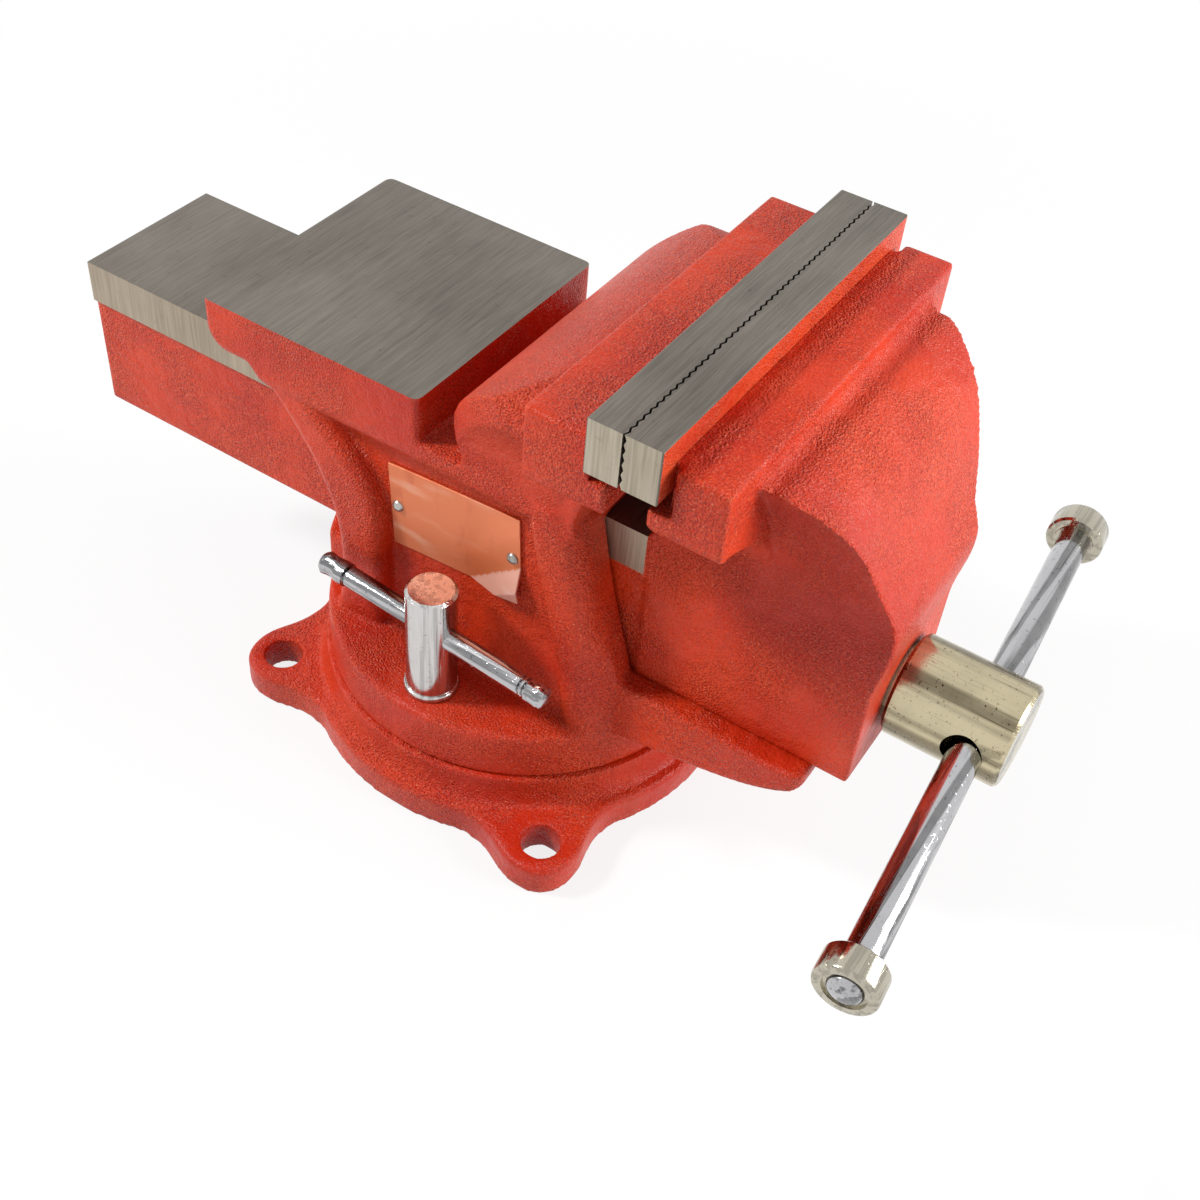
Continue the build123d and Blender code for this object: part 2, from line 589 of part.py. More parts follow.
def swivel_base():
    """Round base with four lugs and a T-slot ring for the lock nuts."""
    flange = Circle(FLANGE_R)
    for angle in lug_angles():
        flange += Rot(0, 0, angle) * lug_face()
    base = extrude(flange, FLANGE_TOP_Z)
    base = fillet(base.edges().group_by(Axis.Z)[-1], 2)
    foot = (SEAM_R + 4.1, FLANGE_TOP_Z)
    neck = (SEAM_R, FLANGE_TOP_Z + 7.9)
    wall = make_face(
        Polyline((0, SLOT_FLOOR_Z), foot[:1] + (SLOT_FLOOR_Z,), foot)
        + Spline(foot, (SEAM_R + 1, FLANGE_TOP_Z + 2.9), neck, tangents=((-1, 0), (0, 1)))
        + Polyline(neck, (SEAM_R, TURRET_BOTTOM_Z), (0, TURRET_BOTTOM_Z), (0, SLOT_FLOOR_Z))
    )
    base += revolve(Plane.XZ * wall, Axis.Z)
    inner = LOCK_X - SLOT_CAVITY_HALF
    outer = LOCK_X + SLOT_CAVITY_HALF
    base -= z_cylinder(outer, SLOT_FLOOR_Z, SLOT_LIP_Z) - z_cylinder(inner, 0, 30)
    mouth = z_cylinder(LOCK_X + SLOT_MOUTH_HALF, SLOT_LIP_Z - 1, 30)
    mouth -= z_cylinder(LOCK_X - SLOT_MOUTH_HALF, 0, 40)
    base -= mouth
    base -= z_cylinder(SPIGOT_R + RUN_CLEARANCE, -1, 30)
    base -= z_cylinder(RELIEF_R, -1, RELIEF_TOP_Z) - z_cylinder(RELIEF_HUB_R, -2, RELIEF_TOP_Z + 1)
    for angle in lug_angles():
        base -= Rot(0, 0, angle) * Pos(LUG_HOLE_CIRCLE_R, 0, 0) * Cylinder(LUG_HOLE_R, 60)
    for angle in lug_angles()[::2]:
        base -= Rot(0, 0, angle) * z_cylinder(15, -1, SLOT_FLOOR_Z + 1, LOCK_X)
    return base


def screw_nut():
    """Cast nut for the vise screw, standing on its foot inside the hollow slide."""
    edge = Polyline(
        (0, NUT_SEAT_Z),
        (NUT_FOOT_HALF_WIDTH, NUT_SEAT_Z),
        (NUT_FOOT_HALF_WIDTH, NUT_FOOT_TOP_Z),
        (0, NUT_FOOT_TOP_Z),
    )
    foot = front_prism(mirrored_face(edge), -NUT_FOOT_HALF_LENGTH, NUT_FOOT_HALF_LENGTH)
    foot = fillet(foot.edges().filter_by(Axis.Z), 5)
    stem = span_box(
        -NUT_HALF_WIDTH, NUT_HALF_WIDTH, -NUT_HALF_LENGTH, NUT_HALF_LENGTH, NUT_FOOT_TOP_Z - 3, SCREW_Z
    )
    barrel = y_cylinder(NUT_HALF_WIDTH, -NUT_HALF_LENGTH, NUT_HALF_LENGTH, 0, SCREW_Z)
    nut = foot + stem + barrel
    nut -= y_cylinder(SCREW_R + RUN_CLEARANCE, -40, 40, 0, SCREW_Z)
    return nut - z_cylinder(NUT_BOLT_R + RUN_CLEARANCE, NUT_SEAT_Z - 1, NUT_BOLT_TOP_Z + 1)


def nut_bolt():
    """Hex bolt that holds the screw nut down from below."""
    head_bottom = NUT_BOLT_RECESS_TOP_Z - NUT_BOLT_HEAD_LENGTH
    head = extrude(RegularPolygon(NUT_BOLT_HEAD_ACROSS / 2, 6, major_radius=False), NUT_BOLT_HEAD_LENGTH)
    return Pos(0, 0, head_bottom) * head + z_cylinder(NUT_BOLT_R, NUT_BOLT_RECESS_TOP_Z, NUT_BOLT_TOP_Z)


def t_nuts():
    """Two square nuts in the base's slot, one under each lock screw."""
    top = SLOT_LIP_Z - 0.1
    pair = []
    for x in (-LOCK_X, LOCK_X):
        half = TNUT_SIDE / 2
        nut = span_box(x - half, x + half, -half, half, top - TNUT_THICK, top)
        pair.append(nut - z_cylinder(LOCK_SHANK_R + RUN_CLEARANCE, 0, 30, x))
    return pair[0] + pair[1]


def lock_washers():
    """Plain washers under the lock screws."""
    pair = []
    for x in (-LOCK_X, LOCK_X):
        ring = z_cylinder(WASHER_R, TURRET_TOP_Z, TURRET_TOP_Z + WASHER_THICK, x)
        ring = fillet(ring.edges().group_by(Axis.Z)[-1], 0.6)
        pair.append(ring - z_cylinder(LOCK_SHANK_R + 0.3, 40, 60, x))
    return pair[0] + pair[1]


def lock_bar_place(side):
    """Location of a lock bar's middle with local Z along the bar, pointing to the rear."""
    return Pos(side * LOCK_X, 0, LOCK_BAR_Z) * Rot(0, 0, side * LOCK_BAR_YAW_DEG) * Rot(-90, 0, 0)


def lock_screw(side):
    """Round-headed lock screw. side is -1 for the near one and +1 for the far one."""
    bottom = TURRET_TOP_Z + WASHER_THICK
    barrel = z_cylinder(LOCK_R, bottom, LOCK_TOP_Z, side * LOCK_X)
    barrel = chamfer(barrel.edges().group_by(Axis.Z)[-1], 1.1)
    shank = z_cylinder(LOCK_SHANK_R, SLOT_FLOOR_Z + 1, bottom, side * LOCK_X)
    return barrel + shank - lock_bar_place(side) * Cylinder(LOCK_BAR_R + RUN_CLEARANCE, 40)


def lock_bar(side):
    """Sliding bar of a lock screw with swaged ends."""
    half = LOCK_BAR_LENGTH / 2
    profile = make_face(
        Polyline(
            (0, -half),
            (LOCK_BAR_R - 0.6, -half),
            (LOCK_BAR_R + 0.5, -half + 1.2),
            (LOCK_BAR_R + 0.5, -half + 5),
            (LOCK_BAR_R - 0.9, -half + 6),
            (LOCK_BAR_R - 0.9, -half + 7.5),
            (LOCK_BAR_R, -half + 8.5),
            (LOCK_BAR_R, half - 13),
            (LOCK_BAR_R - 0.6, half - 12.8),
            (LOCK_BAR_R - 0.6, half - 12.2),
            (LOCK_BAR_R + 0.6, half - 12),
            (LOCK_BAR_R + 0.6, half - 1),
            (LOCK_BAR_R - 0.4, half),
            (0, half),
            (0, -half),
        )
    )
    return lock_bar_place(side) * revolve(Plane.XZ * profile, Axis.Z)


def handle_place(along=0.0):
    """Location on the handle's axis with local Z along the bar, pointing to the far side."""
    return Pos(0, HANDLE_Y, SCREW_Z) * Rot(0, 0, HANDLE_LEAN_DEG) * Rot(0, 90, 0) * Pos(0, 0, along)


def lead_screw():
    """Vise screw with its round head, cross-drilled for the handle and the split pin."""
    head = y_cylinder(HEAD_R, HEAD_FRONT_Y, HEAD_BACK_Y, 0, SCREW_Z)
    head = chamfer(head.edges().filter_by(GeomType.CIRCLE), 1.2)
    screw = y_cylinder(SCREW_R, HEAD_BACK_Y - 5, SCREW_REAR_Y, 0, SCREW_Z)
    screw = chamfer(screw.edges().filter_by(GeomType.CIRCLE).group_by(Axis.Y)[-1], 1.5)
    neck = y_cylinder(NECK_R, HEAD_BACK_Y - 2, COLUMN_FACE_Y, 0, SCREW_Z)
    bore = Pos(0, HANDLE_Y, SCREW_Z) * Rot(0, 90, 0) * Cylinder(HANDLE_BORE_R, 3 * HEAD_R)
    solid = head + neck + screw - bore
    return solid - Pos(0, split_pin_y(), SCREW_Z) * Cylinder(SPLIT_PIN_R, 60)


def handle_bar():
    """Handle bar, its ends riveted over the caps."""
    bar = Cylinder(HANDLE_R, HANDLE_LENGTH)
    return handle_place(HANDLE_SHIFT) * fillet(bar.edges().filter_by(GeomType.CIRCLE), HANDLE_R - 2)


def handle_cap(end):
    """Cap on one end of the handle: end is +1 for the far side and -1 for the near one."""
    cap = Cylinder(CAP_R, CAP_LENGTH)
    rims = cap.edges().filter_by(GeomType.CIRCLE).sort_by(Axis.Z)
    cap = fillet(rims[1 if end > 0 else 0], 1.4)
    inner_rim = cap.edges().filter_by(GeomType.CIRCLE).sort_by(Axis.Z)[0 if end > 0 else -1]
    cap = chamfer(inner_rim, 0.8)
    middle = HANDLE_LENGTH / 2 - CAP_FROM_END - CAP_LENGTH / 2
    return handle_place(HANDLE_SHIFT + end * middle) * (cap - Cylinder(HANDLE_R, 2 * CAP_LENGTH))


def split_pin_y():
    """Middle of the split pin, just behind the thrust washer."""
    return COLUMN_WALL_INNER_Y + THRUST_WASHER_THICK + SPLIT_PIN_R + 0.1


def thrust_washer():
    """Washer on the screw behind the front wall of the sliding jaw."""
    rear = COLUMN_WALL_INNER_Y + THRUST_WASHER_THICK
    ring = y_cylinder(THRUST_WASHER_R, COLUMN_WALL_INNER_Y, rear, 0, SCREW_Z)
    return ring - y_cylinder(SCREW_R + 0.3, COLUMN_WALL_INNER_Y - 1, rear + 1, 0, SCREW_Z)


def split_pin():
    """Pin through the screw that keeps the thrust washer on."""
    return Pos(0, split_pin_y(), SCREW_Z) * Cylinder(SPLIT_PIN_R, SPLIT_PIN_LENGTH)


def write(name, shape):
    """Write one node."""
    export_step(shape, "parts/" + name + ".step")


os.makedirs("parts", exist_ok=True)
write("swivel_base", swivel_base())
write("vise_body", vise_body())
write("sliding_jaw", sliding_jaw())
write("fixed_jaw_plate", jaw_plate(1))
write("moving_jaw_plate", jaw_plate(-1))
write("fixed_jaw_screws", jaw_screws(1))
write("moving_jaw_screws", jaw_screws(-1))
write("lead_screw", lead_screw())
write("thrust_washer", thrust_washer())
write("split_pin", split_pin())
write("screw_nut", screw_nut())
write("nut_bolt", nut_bolt())
write("handle_bar", handle_bar())
write("handle_cap_far", handle_cap(1))
write("handle_cap_near", handle_cap(-1))
write("lock_screw_near", lock_screw(-1))
write("lock_screw_far", lock_screw(1))
write("lock_bar_near", lock_bar(-1))
write("lock_bar_far", lock_bar(1))
write("lock_washers", lock_washers())
write("t_nuts", t_nuts())
write("name_plate", name_plate())
write("name_plate_rivets", name_plate_rivets())
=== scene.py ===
"""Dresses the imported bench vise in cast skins, paint, steel and chrome and sets the studio round it."""
import json
import logging
import math
from collections.abc import Callable, Iterator
from contextlib import contextmanager
from dataclasses import dataclass, field
from enum import Enum
from typing import Union

import bpy
from mathutils import Matrix, Vector

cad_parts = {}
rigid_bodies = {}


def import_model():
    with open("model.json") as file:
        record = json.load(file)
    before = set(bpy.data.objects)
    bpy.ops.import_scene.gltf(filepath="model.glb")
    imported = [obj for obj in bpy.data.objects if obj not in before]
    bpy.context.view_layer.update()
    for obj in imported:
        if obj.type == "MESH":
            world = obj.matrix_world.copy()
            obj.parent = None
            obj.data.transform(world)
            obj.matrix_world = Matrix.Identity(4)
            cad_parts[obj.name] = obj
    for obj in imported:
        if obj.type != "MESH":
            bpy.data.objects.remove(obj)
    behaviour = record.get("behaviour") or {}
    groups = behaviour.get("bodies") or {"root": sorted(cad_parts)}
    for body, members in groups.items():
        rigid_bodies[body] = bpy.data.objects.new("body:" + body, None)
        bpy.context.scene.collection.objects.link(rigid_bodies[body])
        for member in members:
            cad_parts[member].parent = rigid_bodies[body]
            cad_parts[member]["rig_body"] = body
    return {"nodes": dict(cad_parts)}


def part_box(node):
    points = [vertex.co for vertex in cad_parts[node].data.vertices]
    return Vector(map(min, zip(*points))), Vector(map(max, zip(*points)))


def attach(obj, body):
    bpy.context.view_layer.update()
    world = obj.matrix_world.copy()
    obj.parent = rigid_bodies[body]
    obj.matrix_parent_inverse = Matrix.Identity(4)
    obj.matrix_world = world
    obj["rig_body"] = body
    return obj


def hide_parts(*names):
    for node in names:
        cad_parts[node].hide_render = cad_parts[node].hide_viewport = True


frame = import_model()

MM = 0.001
FLAT_ENOUGH = 0.02 * MM
WELD = 0.002 * MM
ROUND_SIDES = 64
CORNER_STEPS = 5
log = logging.getLogger("vise")

Piece = bpy.types.Object
Material = bpy.types.Material
Colour = tuple[float, float, float]
Corner = tuple[float, float, float]
Link = Union["Signal", float, tuple]
Station = Union[tuple[float, float], tuple[float, float, float]]


def srgb(red: int, green: int, blue: int) -> Colour:
    """Turn a display colour into the linear one that shaders take.

    Args:
        red: Display red, 0 to 255.
        green: Display green, 0 to 255.
        blue: Display blue, 0 to 255.

    Returns:
        The linear colour.
    """
    shares = (channel / 255 for channel in (red, green, blue))
    return tuple(s / 12.92 if s <= 0.04045 else ((s + 0.055) / 1.055) ** 2.4 for s in shares)


def only(piece: Piece) -> None:
    """Select one piece and nothing else."""
    bpy.ops.object.select_all(action="DESELECT")
    piece.select_set(True)
    bpy.context.view_layer.objects.active = piece


def fresh(add: Callable[..., set[str]], **settings: object) -> Piece:
    """Add a primitive with nothing else selected, and return it."""
    bpy.ops.object.select_all(action="DESELECT")
    add(**settings)
    return bpy.context.object


def settle(piece: Piece, name: str, place: Matrix) -> Piece:
    """Name a new piece, put it in place and move that place into its mesh.

    Args:
        piece: The piece, as its primitive left it.
        name: Its name.
        place: Where its own origin goes.

    Returns:
        The piece.
    """
    piece.name = name
    piece.matrix_world = place
    only(piece)
    bpy.ops.object.transform_apply(location=True, rotation=True, scale=True)
    return piece


def modify(piece: Piece, kind: str, **settings: object) -> None:
    """Add a modifier with its settings and apply it.

    Args:
        piece: The piece.
        kind: The modifier's type.
        settings: Its settings by name.
    """
    only(piece)
    modifier = piece.modifiers.new(kind.lower(), kind)
    for name, value in settings.items():
        setattr(modifier, name, value)
    bpy.ops.object.modifier_apply(modifier=modifier.name)


@contextmanager
def editing(piece: Piece, mode: str) -> Iterator[None]:
    """Open a piece in edit mode, to select by VERT, EDGE or FACE."""
    only(piece)
    bpy.context.tool_settings.mesh_select_mode = [mode == kind for kind in ("VERT", "EDGE", "FACE")]
    bpy.ops.object.mode_set(mode="EDIT")
    yield
    bpy.ops.object.mode_set(mode="OBJECT")


def pick_edges(piece: Piece, test: Callable[[Vector, Vector], bool]) -> None:
    """Select, in object mode, the edges whose two ends pass a test."""
    mesh = piece.data
    for element in (*mesh.vertices, *mesh.polygons):
        element.select = False
    for edge in mesh.edges:
        edge.select = test(*(mesh.vertices[i].co for i in edge.vertices))


def block(name: str, low: Corner, high: Corner, corner: float = 0.0) -> Piece:
    """Make a block between two corners.

    Args:
        name: Its name.
        low: Lowest corner.
        high: Highest corner.
        corner: Radius of its four upright edges.

    Returns:
        The block.
    """
    low, high = Vector(low), Vector(high)
    place = Matrix.Translation((low + high) / 2) @ Matrix.Diagonal((*(high - low), 1.0))
    piece = settle(fresh(bpy.ops.mesh.primitive_cube_add, size=1.0), name, place)
    if corner:
        pick_edges(piece, lambda a, b: abs(a.z - b.z) > FLAT_ENOUGH)
        with editing(piece, "EDGE"):
            bpy.ops.mesh.bevel(offset=corner, segments=CORNER_STEPS)
    return piece


def rod(name: str, radius: float, start: Corner, end: Corner) -> Piece:
    """Make a round rod between two points.

    Args:
        name: Its name.
        radius: Its radius.
        start: Middle of one end.
        end: Middle of the other end.

    Returns:
        The rod.
    """
    start, end = Vector(start), Vector(end)
    shape = {"vertices": ROUND_SIDES, "radius": radius, "depth": (end - start).length}
    turn = (end - start).to_track_quat("Z", "Y").to_matrix().to_4x4()
    place = Matrix.Translation((start + end) / 2) @ turn
    return settle(fresh(bpy.ops.mesh.primitive_cylinder_add, **shape), name, place)


def turned(name: str, stations: list[Station], place: Matrix, sides: int = ROUND_SIDES) -> Piece:
    """Turn a piece: a disc is extruded and scaled from station to station along its axis.

    Args:
        name: Its name.
        stations: Radius and distance along the axis, in order, and the radius across Y where it is oval.
        place: Where the axis goes; the piece is turned about its own Z.
        sides: How many sides it has.

    Returns:
        The piece.
    """
    first, start = stations[0]
    piece = fresh(bpy.ops.mesh.primitive_circle_add, vertices=sides, radius=first, fill_type="NGON")
    last = (first, first, 0.0)
    with editing(piece, "FACE"):
        bpy.ops.mesh.select_all(action="SELECT")
        for radius, along, *across in stations[1:]:
            now = (radius, across[0] if across else radius, along - start)
            bpy.ops.mesh.extrude_region_move(TRANSFORM_OT_translate={"value": (0, 0, now[2] - last[2])})
            shares = (now[0] / last[0], now[1] / last[1], 1)
            bpy.ops.transform.resize(value=shares, center_override=(0, 0, now[2]))
            last = now
        bpy.ops.mesh.select_all(action="SELECT")
        bpy.ops.mesh.normals_make_consistent(inside=False)
    return settle(piece, name, place @ Matrix.Translation((0, 0, start)))


def carve(piece: Piece, tool: Piece, operation: str = "DIFFERENCE") -> None:
    """Cut a piece with another one, or join or trim it, and clear the tool away.

    Args:
        piece: The piece.
        tool: The shape that cuts it.
        operation: DIFFERENCE, UNION or INTERSECT.
    """
    modify(piece, "BOOLEAN", operation=operation, solver="MANIFOLD", object=tool)
    bpy.data.objects.remove(tool)


def smooth(piece: Piece, degrees: float) -> None:
    """Shade a piece smooth, apart from edges sharper than an angle."""
    only(piece)
    bpy.ops.object.shade_smooth_by_angle(angle=math.radians(degrees))


def paint_faces(piece: Piece, slot: int, test: Callable[[Vector, Vector], bool]) -> None:
    """Give a material slot to the faces whose middle and normal pass a test."""
    for face in piece.data.polygons:
        if test(face.center, face.normal):
            face.material_index = slot


def coat(piece: Piece, *materials: Material) -> None:
    """Give a piece its materials in slot order; all faces then take the first."""
    piece.data.materials.clear()
    for material in materials:
        piece.data.materials.append(material)


def install(piece: Piece, node: str) -> None:
    """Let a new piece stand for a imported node.

    Args:
        piece: The piece.
        node: The node that it replaces and whose body it rides on.
    """
    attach(piece, frame["nodes"][node]["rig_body"])
    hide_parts(node)
    log.info("%s: %d faces, stands for %s", piece.name, len(piece.data.polygons), node)


def dress(node: str, material: Material) -> None:
    """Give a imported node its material.

    Args:
        node: The node's name.
        material: Its finish.
    """
    coat(frame["nodes"][node], material)
    log.info("%s: dressed in %s", node, material.name)


class Mix(Enum):
    """A Mix node's data type, with the numbers of its two inputs and its output for that type."""

    NUMBER = ("FLOAT", 2, 3, 0)
    COLOUR = ("RGBA", 6, 7, 2)


@dataclass(frozen=True)
class Signal:
    """One output of a shader tree that answers to arithmetic by adding Math nodes."""

    shader: "Shader"
    socket: bpy.types.NodeSocket

    def maths(self, operation: str, *others: Link) -> "Signal":
        """Add one Math node.

        Args:
            operation: The node's operation.
            others: The values that follow this one.

        Returns:
            The result.
        """
        return self.shader.maths(operation, self, *others)

    def __add__(self, other: Link) -> "Signal":
        """Return self + other."""
        return self.maths("ADD", other)

    def __sub__(self, other: Link) -> "Signal":
        """Return self - other."""
        return self.maths("SUBTRACT", other)

    def __rsub__(self, other: Link) -> "Signal":
        """Return other - self."""
        return self.shader.maths("SUBTRACT", other, self)

    def __mul__(self, other: Link) -> "Signal":
        """Return self * other."""
        return self.maths("MULTIPLY", other)

    def rise(self, start: float, end: float) -> "Signal":
        """Return a smooth step from 0 at start to 1 at end; start may be the larger."""
        limits = {"Value": self, "From Min": min(start, end), "From Max": max(start, end)}
        turned_round = {"To Min": float(start > end), "To Max": float(start < end)}
        settings = {"interpolation_type": "SMOOTHSTEP"}
        return self.shader.node("ShaderNodeMapRange", settings, limits | turned_round)


class Shader:
    """The node tree of one material or of the sky."""

    def __init__(self, owner: Union[Material, bpy.types.World]) -> None:
        """Open the tree of a new material or world."""
        self.owner = owner
        owner.use_nodes = True
        self.tree = owner.node_tree

    @classmethod
    def of(cls, name: str) -> "Shader":
        """Return the tree of a new material."""
        return cls(bpy.data.materials.new(name))

    def plug(self, socket: bpy.types.NodeSocket, value: Link) -> None:
        """Link a signal to an input, or set the input to a plain value.

        Args:
            socket: The input.
            value: A signal, a number, or a tuple for a colour or vector.
        """
        if isinstance(value, Signal):
            self.tree.links.new(value.socket, socket)
        elif isinstance(value, tuple) and socket.type == "RGBA":
            socket.default_value = (*value[:3], 1.0)
        else:
            socket.default_value = value

    def node(self, kind: str, settings: dict, values: dict, output: Union[int, str] = 0) -> Signal:
        """Add a node.

        Args:
            kind: The node's type.
            settings: Its settings by name.
            values: The values or links of its inputs, by name or number.
            output: The output that is wanted.

        Returns:
            That output.
        """
        made = self.tree.nodes.new(kind)
        for name, setting in settings.items():
            setattr(made, name, setting)
        for name, value in values.items():
            self.plug(made.inputs[name], value)
        return Signal(self, made.outputs[output])

    def maths(self, operation: str, *values: Link) -> Signal:
        """Add one Math node for the given values."""
        return self.node("ShaderNodeMath", {"operation": operation}, dict(enumerate(values)))

    def place(self) -> Signal:
        """Return the place on the object, in metres."""
        return self.node("ShaderNodeTexCoord", {}, {}, "Object")

    def crest(self) -> Signal:
        """Return how far the surface stands out: over a half on edges, under it in corners."""
        return self.node("ShaderNodeNewGeometry", {}, {}, "Pointiness")

    def noise(self, scale: float, detail: float = 2.0, stretch: Colour = (1.0, 1.0, 1.0)) -> Signal:
        """Return noise by place.

        Args:
            scale: Patches per metre, roughly.
            detail: Octaves.
            stretch: How much finer the noise is along each axis.

        Returns:
            Noise from 0 to 1.
        """
        spread = self.node("ShaderNodeVectorMath", {"operation": "MULTIPLY"}, {0: self.place(), 1: stretch})
        return self.node("ShaderNodeTexNoise", {}, {"Vector": spread, "Scale": scale, "Detail": detail})

    def blend(self, factor: Link, low: Link, high: Link, kind: Mix = Mix.COLOUR) -> Signal:
        """Mix two colours or two numbers.

        Args:
            factor: 0 gives low and 1 gives high.
            low: The first value.
            high: The second value.
            kind: What is mixed.

        Returns:
            The mixture.
        """
        data, first, second, output = kind.value
        return self.node("ShaderNodeMix", {"data_type": data}, {0: factor, first: low, second: high}, output)

    def bump(self, height: Signal, depth: float) -> Signal:
        """Return a normal raised by a height.

        Args:
            height: The height, in units of depth.
            depth: The real height of one unit, in metres.

        Returns:
            The normal.
        """
        return self.node("ShaderNodeBump", {}, {"Height": height, "Distance": depth, "Strength": 1.0})

    def finish(self, **inputs: Link) -> Material:
        """Set the surface's inputs, whose names are written with underscores, and return the material."""
        surface = self.tree.nodes["Principled BSDF"]
        for name, value in inputs.items():
            self.plug(surface.inputs[name.replace("_", " ")], value)
        return self.owner


class Grain(Enum):
    """Which way the fine lines of a machined face run: the stretch that draws them."""

    ALONG_X = (0.02, 1.0, 1.0)
    ALONG_Y = (1.0, 0.02, 1.0)
    UPRIGHT = (1.0, 1.0, 0.03)


@dataclass(frozen=True)
class GroundSteel:
    """Ground or milled steel with fine parallel lines, clouds and a few stains."""

    light: Colour
    dark: Colour
    gloss: float = 0.36
    lines_per_metre: float = 3600.0
    lines_per_band: float = 6.0
    clouds_per_metre: float = 14.0
    stains_per_metre: float = 330.0
    line_depth: float = 0.03 * MM
    metal: float = 0.85

    def material(self, name: str, grain: Grain) -> Material:
        """Make the material.

        Args:
            name: Its name.
            grain: Which way its lines run.

        Returns:
            The material.
        """
        shader = Shader.of(name)
        lines = shader.noise(self.lines_per_metre, 4.0, grain.value)
        broad = shader.noise(self.lines_per_metre / self.lines_per_band, 2.0, grain.value)
        clouds = shader.noise(self.clouds_per_metre, 4.0).rise(0.3, 0.72)
        stains = shader.noise(self.stains_per_metre, 4.0).rise(0.62, 0.8)
        tone = lines.rise(0.3, 0.7) * 0.4 + broad.rise(0.3, 0.7) * 0.15 + clouds * 0.4 - stains * 0.25
        return shader.finish(
            Base_Color=shader.blend(tone, self.dark, self.light),
            Roughness=lines * 0.22 + clouds * 0.06 + self.gloss - 0.14,
            Metallic=self.metal,
            Normal=shader.bump(lines, self.line_depth),
        )


@dataclass(frozen=True)
class CastPaint:
    """Orange-red enamel over sand-cast iron: grainy in patches, with painted glints on the grain, painted
    shade in corners, and pale edges of worn paint and painted highlight.
    """

    fresh: Colour = srgb(210, 60, 22)
    dull: Colour = srgb(188, 40, 14)
    # dark tone of the sand pits, and the painted shade in hollows and inner corners
    deep_grain_and_shade: Colour = srgb(138, 18, 4)
    faded: Colour = srgb(216, 82, 46)
    # painted highlight for the crests of the sand grain
    painted_glint: Colour = srgb(238, 134, 96)
    # pale colour of edges: worn paint together with a painted highlight on the crests
    edge: Colour = srgb(234, 112, 70)
    chip: Colour = srgb(172, 150, 112)
    sand_per_metre: float = 1400.0
    lumps_per_metre: float = 190.0
    rough_per_metre: float = 30.0
    dull_per_metre: float = 17.0
    faded_per_metre: float = 60.0
    ragged_per_metre: float = 420.0
    chips_per_metre: float = 95.0
    gloss_per_metre: float = 300.0
    grain_depth: float = 1.1 * MM
    gloss: float = 0.24
    shine: float = 0.28

    def material(self, name: str) -> Material:
        """Make the material.

        Args:
            name: Its name.

        Returns:
            The material.
        """
        shader = Shader.of(name)
        sand = shader.noise(self.sand_per_metre, 1.0)
        lumps = shader.noise(self.lumps_per_metre, 3.0)
        rough = shader.noise(self.rough_per_metre, 3.0).rise(0.36, 0.6)
        bright = shader.noise(self.dull_per_metre, 3.0).rise(0.3, 0.62)
        shade = shader.blend(bright, self.dull, self.fresh)
        faded = shader.noise(self.faded_per_metre, 4.0).rise(0.48, 0.78)
        shade = shader.blend(faded * 0.3, shade, self.faded)
        # darker sand pits in the grain
        shade = shader.blend(sand.rise(0.5, 0.34) * (rough * 0.4 + 0.2), shade, self.deep_grain_and_shade)
        # painted highlight: pale glints on the crests of the sand grain
        shade = shader.blend(sand.rise(0.6, 0.78) * (rough * 0.6 + 0.05), shade, self.painted_glint)
        ragged = shader.crest() + shader.noise(self.ragged_per_metre, 3.0) * 0.05
        # painted shade: hollows and inner corners, where the surface stands in, are darkened
        shade = shader.blend(ragged.rise(0.48, 0.38) * 0.7, shade, self.deep_grain_and_shade)
        # pale edges where the surface stands out: partly worn paint, partly painted highlight
        shade = shader.blend(ragged.rise(0.56, 0.64) * 0.5, shade, self.edge)
        chipped = ragged.rise(0.63, 0.66) * shader.noise(self.chips_per_metre, 2.0).rise(0.56, 0.62)
        shade = shader.blend(chipped, shade, self.chip)
        return shader.finish(
            Base_Color=shade,
            Roughness=shader.noise(self.gloss_per_metre, 3.0) * 0.2 + chipped * 0.2 + self.gloss,
            Specular_IOR_Level=self.shine,
            Normal=shader.bump(sand * (rough * 0.7 + 0.3) + lumps * 0.9, self.grain_depth),
        )


@dataclass(frozen=True)
class Plating:
    """Bright plating over turned steel, with broad dark streaks along the grain that are painted reflection,
    fine scratches, small pits and dull clouds.
    """

    colour: Colour
    # second colour: of wear, and of the painted reflection in the streaks
    shade: Colour
    gloss: float
    wear_and_reflection: float
    streaks_per_metre: float = 420.0
    scratches_per_metre: float = 1500.0
    pits_per_metre: float = 900.0
    clouds_per_metre: float = 75.0
    relief: float = 0.03 * MM

    def material(self, name: str, grain: Grain) -> Material:
        """Make the plated material.

        Args:
            name: Its name.
            grain: Which way its scratches and its painted reflection streaks run.

        Returns:
            The material.
        """
        shader = Shader.of(name)
        # painted reflection: broad dark streaks along the axis stand in for the dark surroundings that the
        # plating reflects
        reflection_streaks = shader.noise(self.streaks_per_metre, 3.0, grain.value).rise(0.47, 0.58)
        scratches = shader.noise(self.scratches_per_metre, 3.0, grain.value).rise(0.54, 0.76)
        pits = shader.noise(self.pits_per_metre, 3.0).rise(0.38, 0.28)
        clouds = shader.noise(self.clouds_per_metre, 4.0).rise(0.35, 0.75)
        # mask of the second colour: wear from scratches, pits and clouds, and painted reflection from the
        # streaks
        worn_and_reflected = (reflection_streaks * 0.6 + scratches * 0.35 + pits * 0.5 + clouds * 0.15).maths("MINIMUM", 1.0)
        return shader.finish(
            Base_Color=shader.blend(worn_and_reflected * self.wear_and_reflection, self.colour, self.shade),
            Metallic=1.0,
            Roughness=clouds * 0.06 + (scratches + pits) * 0.14 + self.gloss,
            Normal=shader.bump(1 - scratches - pits, self.relief),
        )


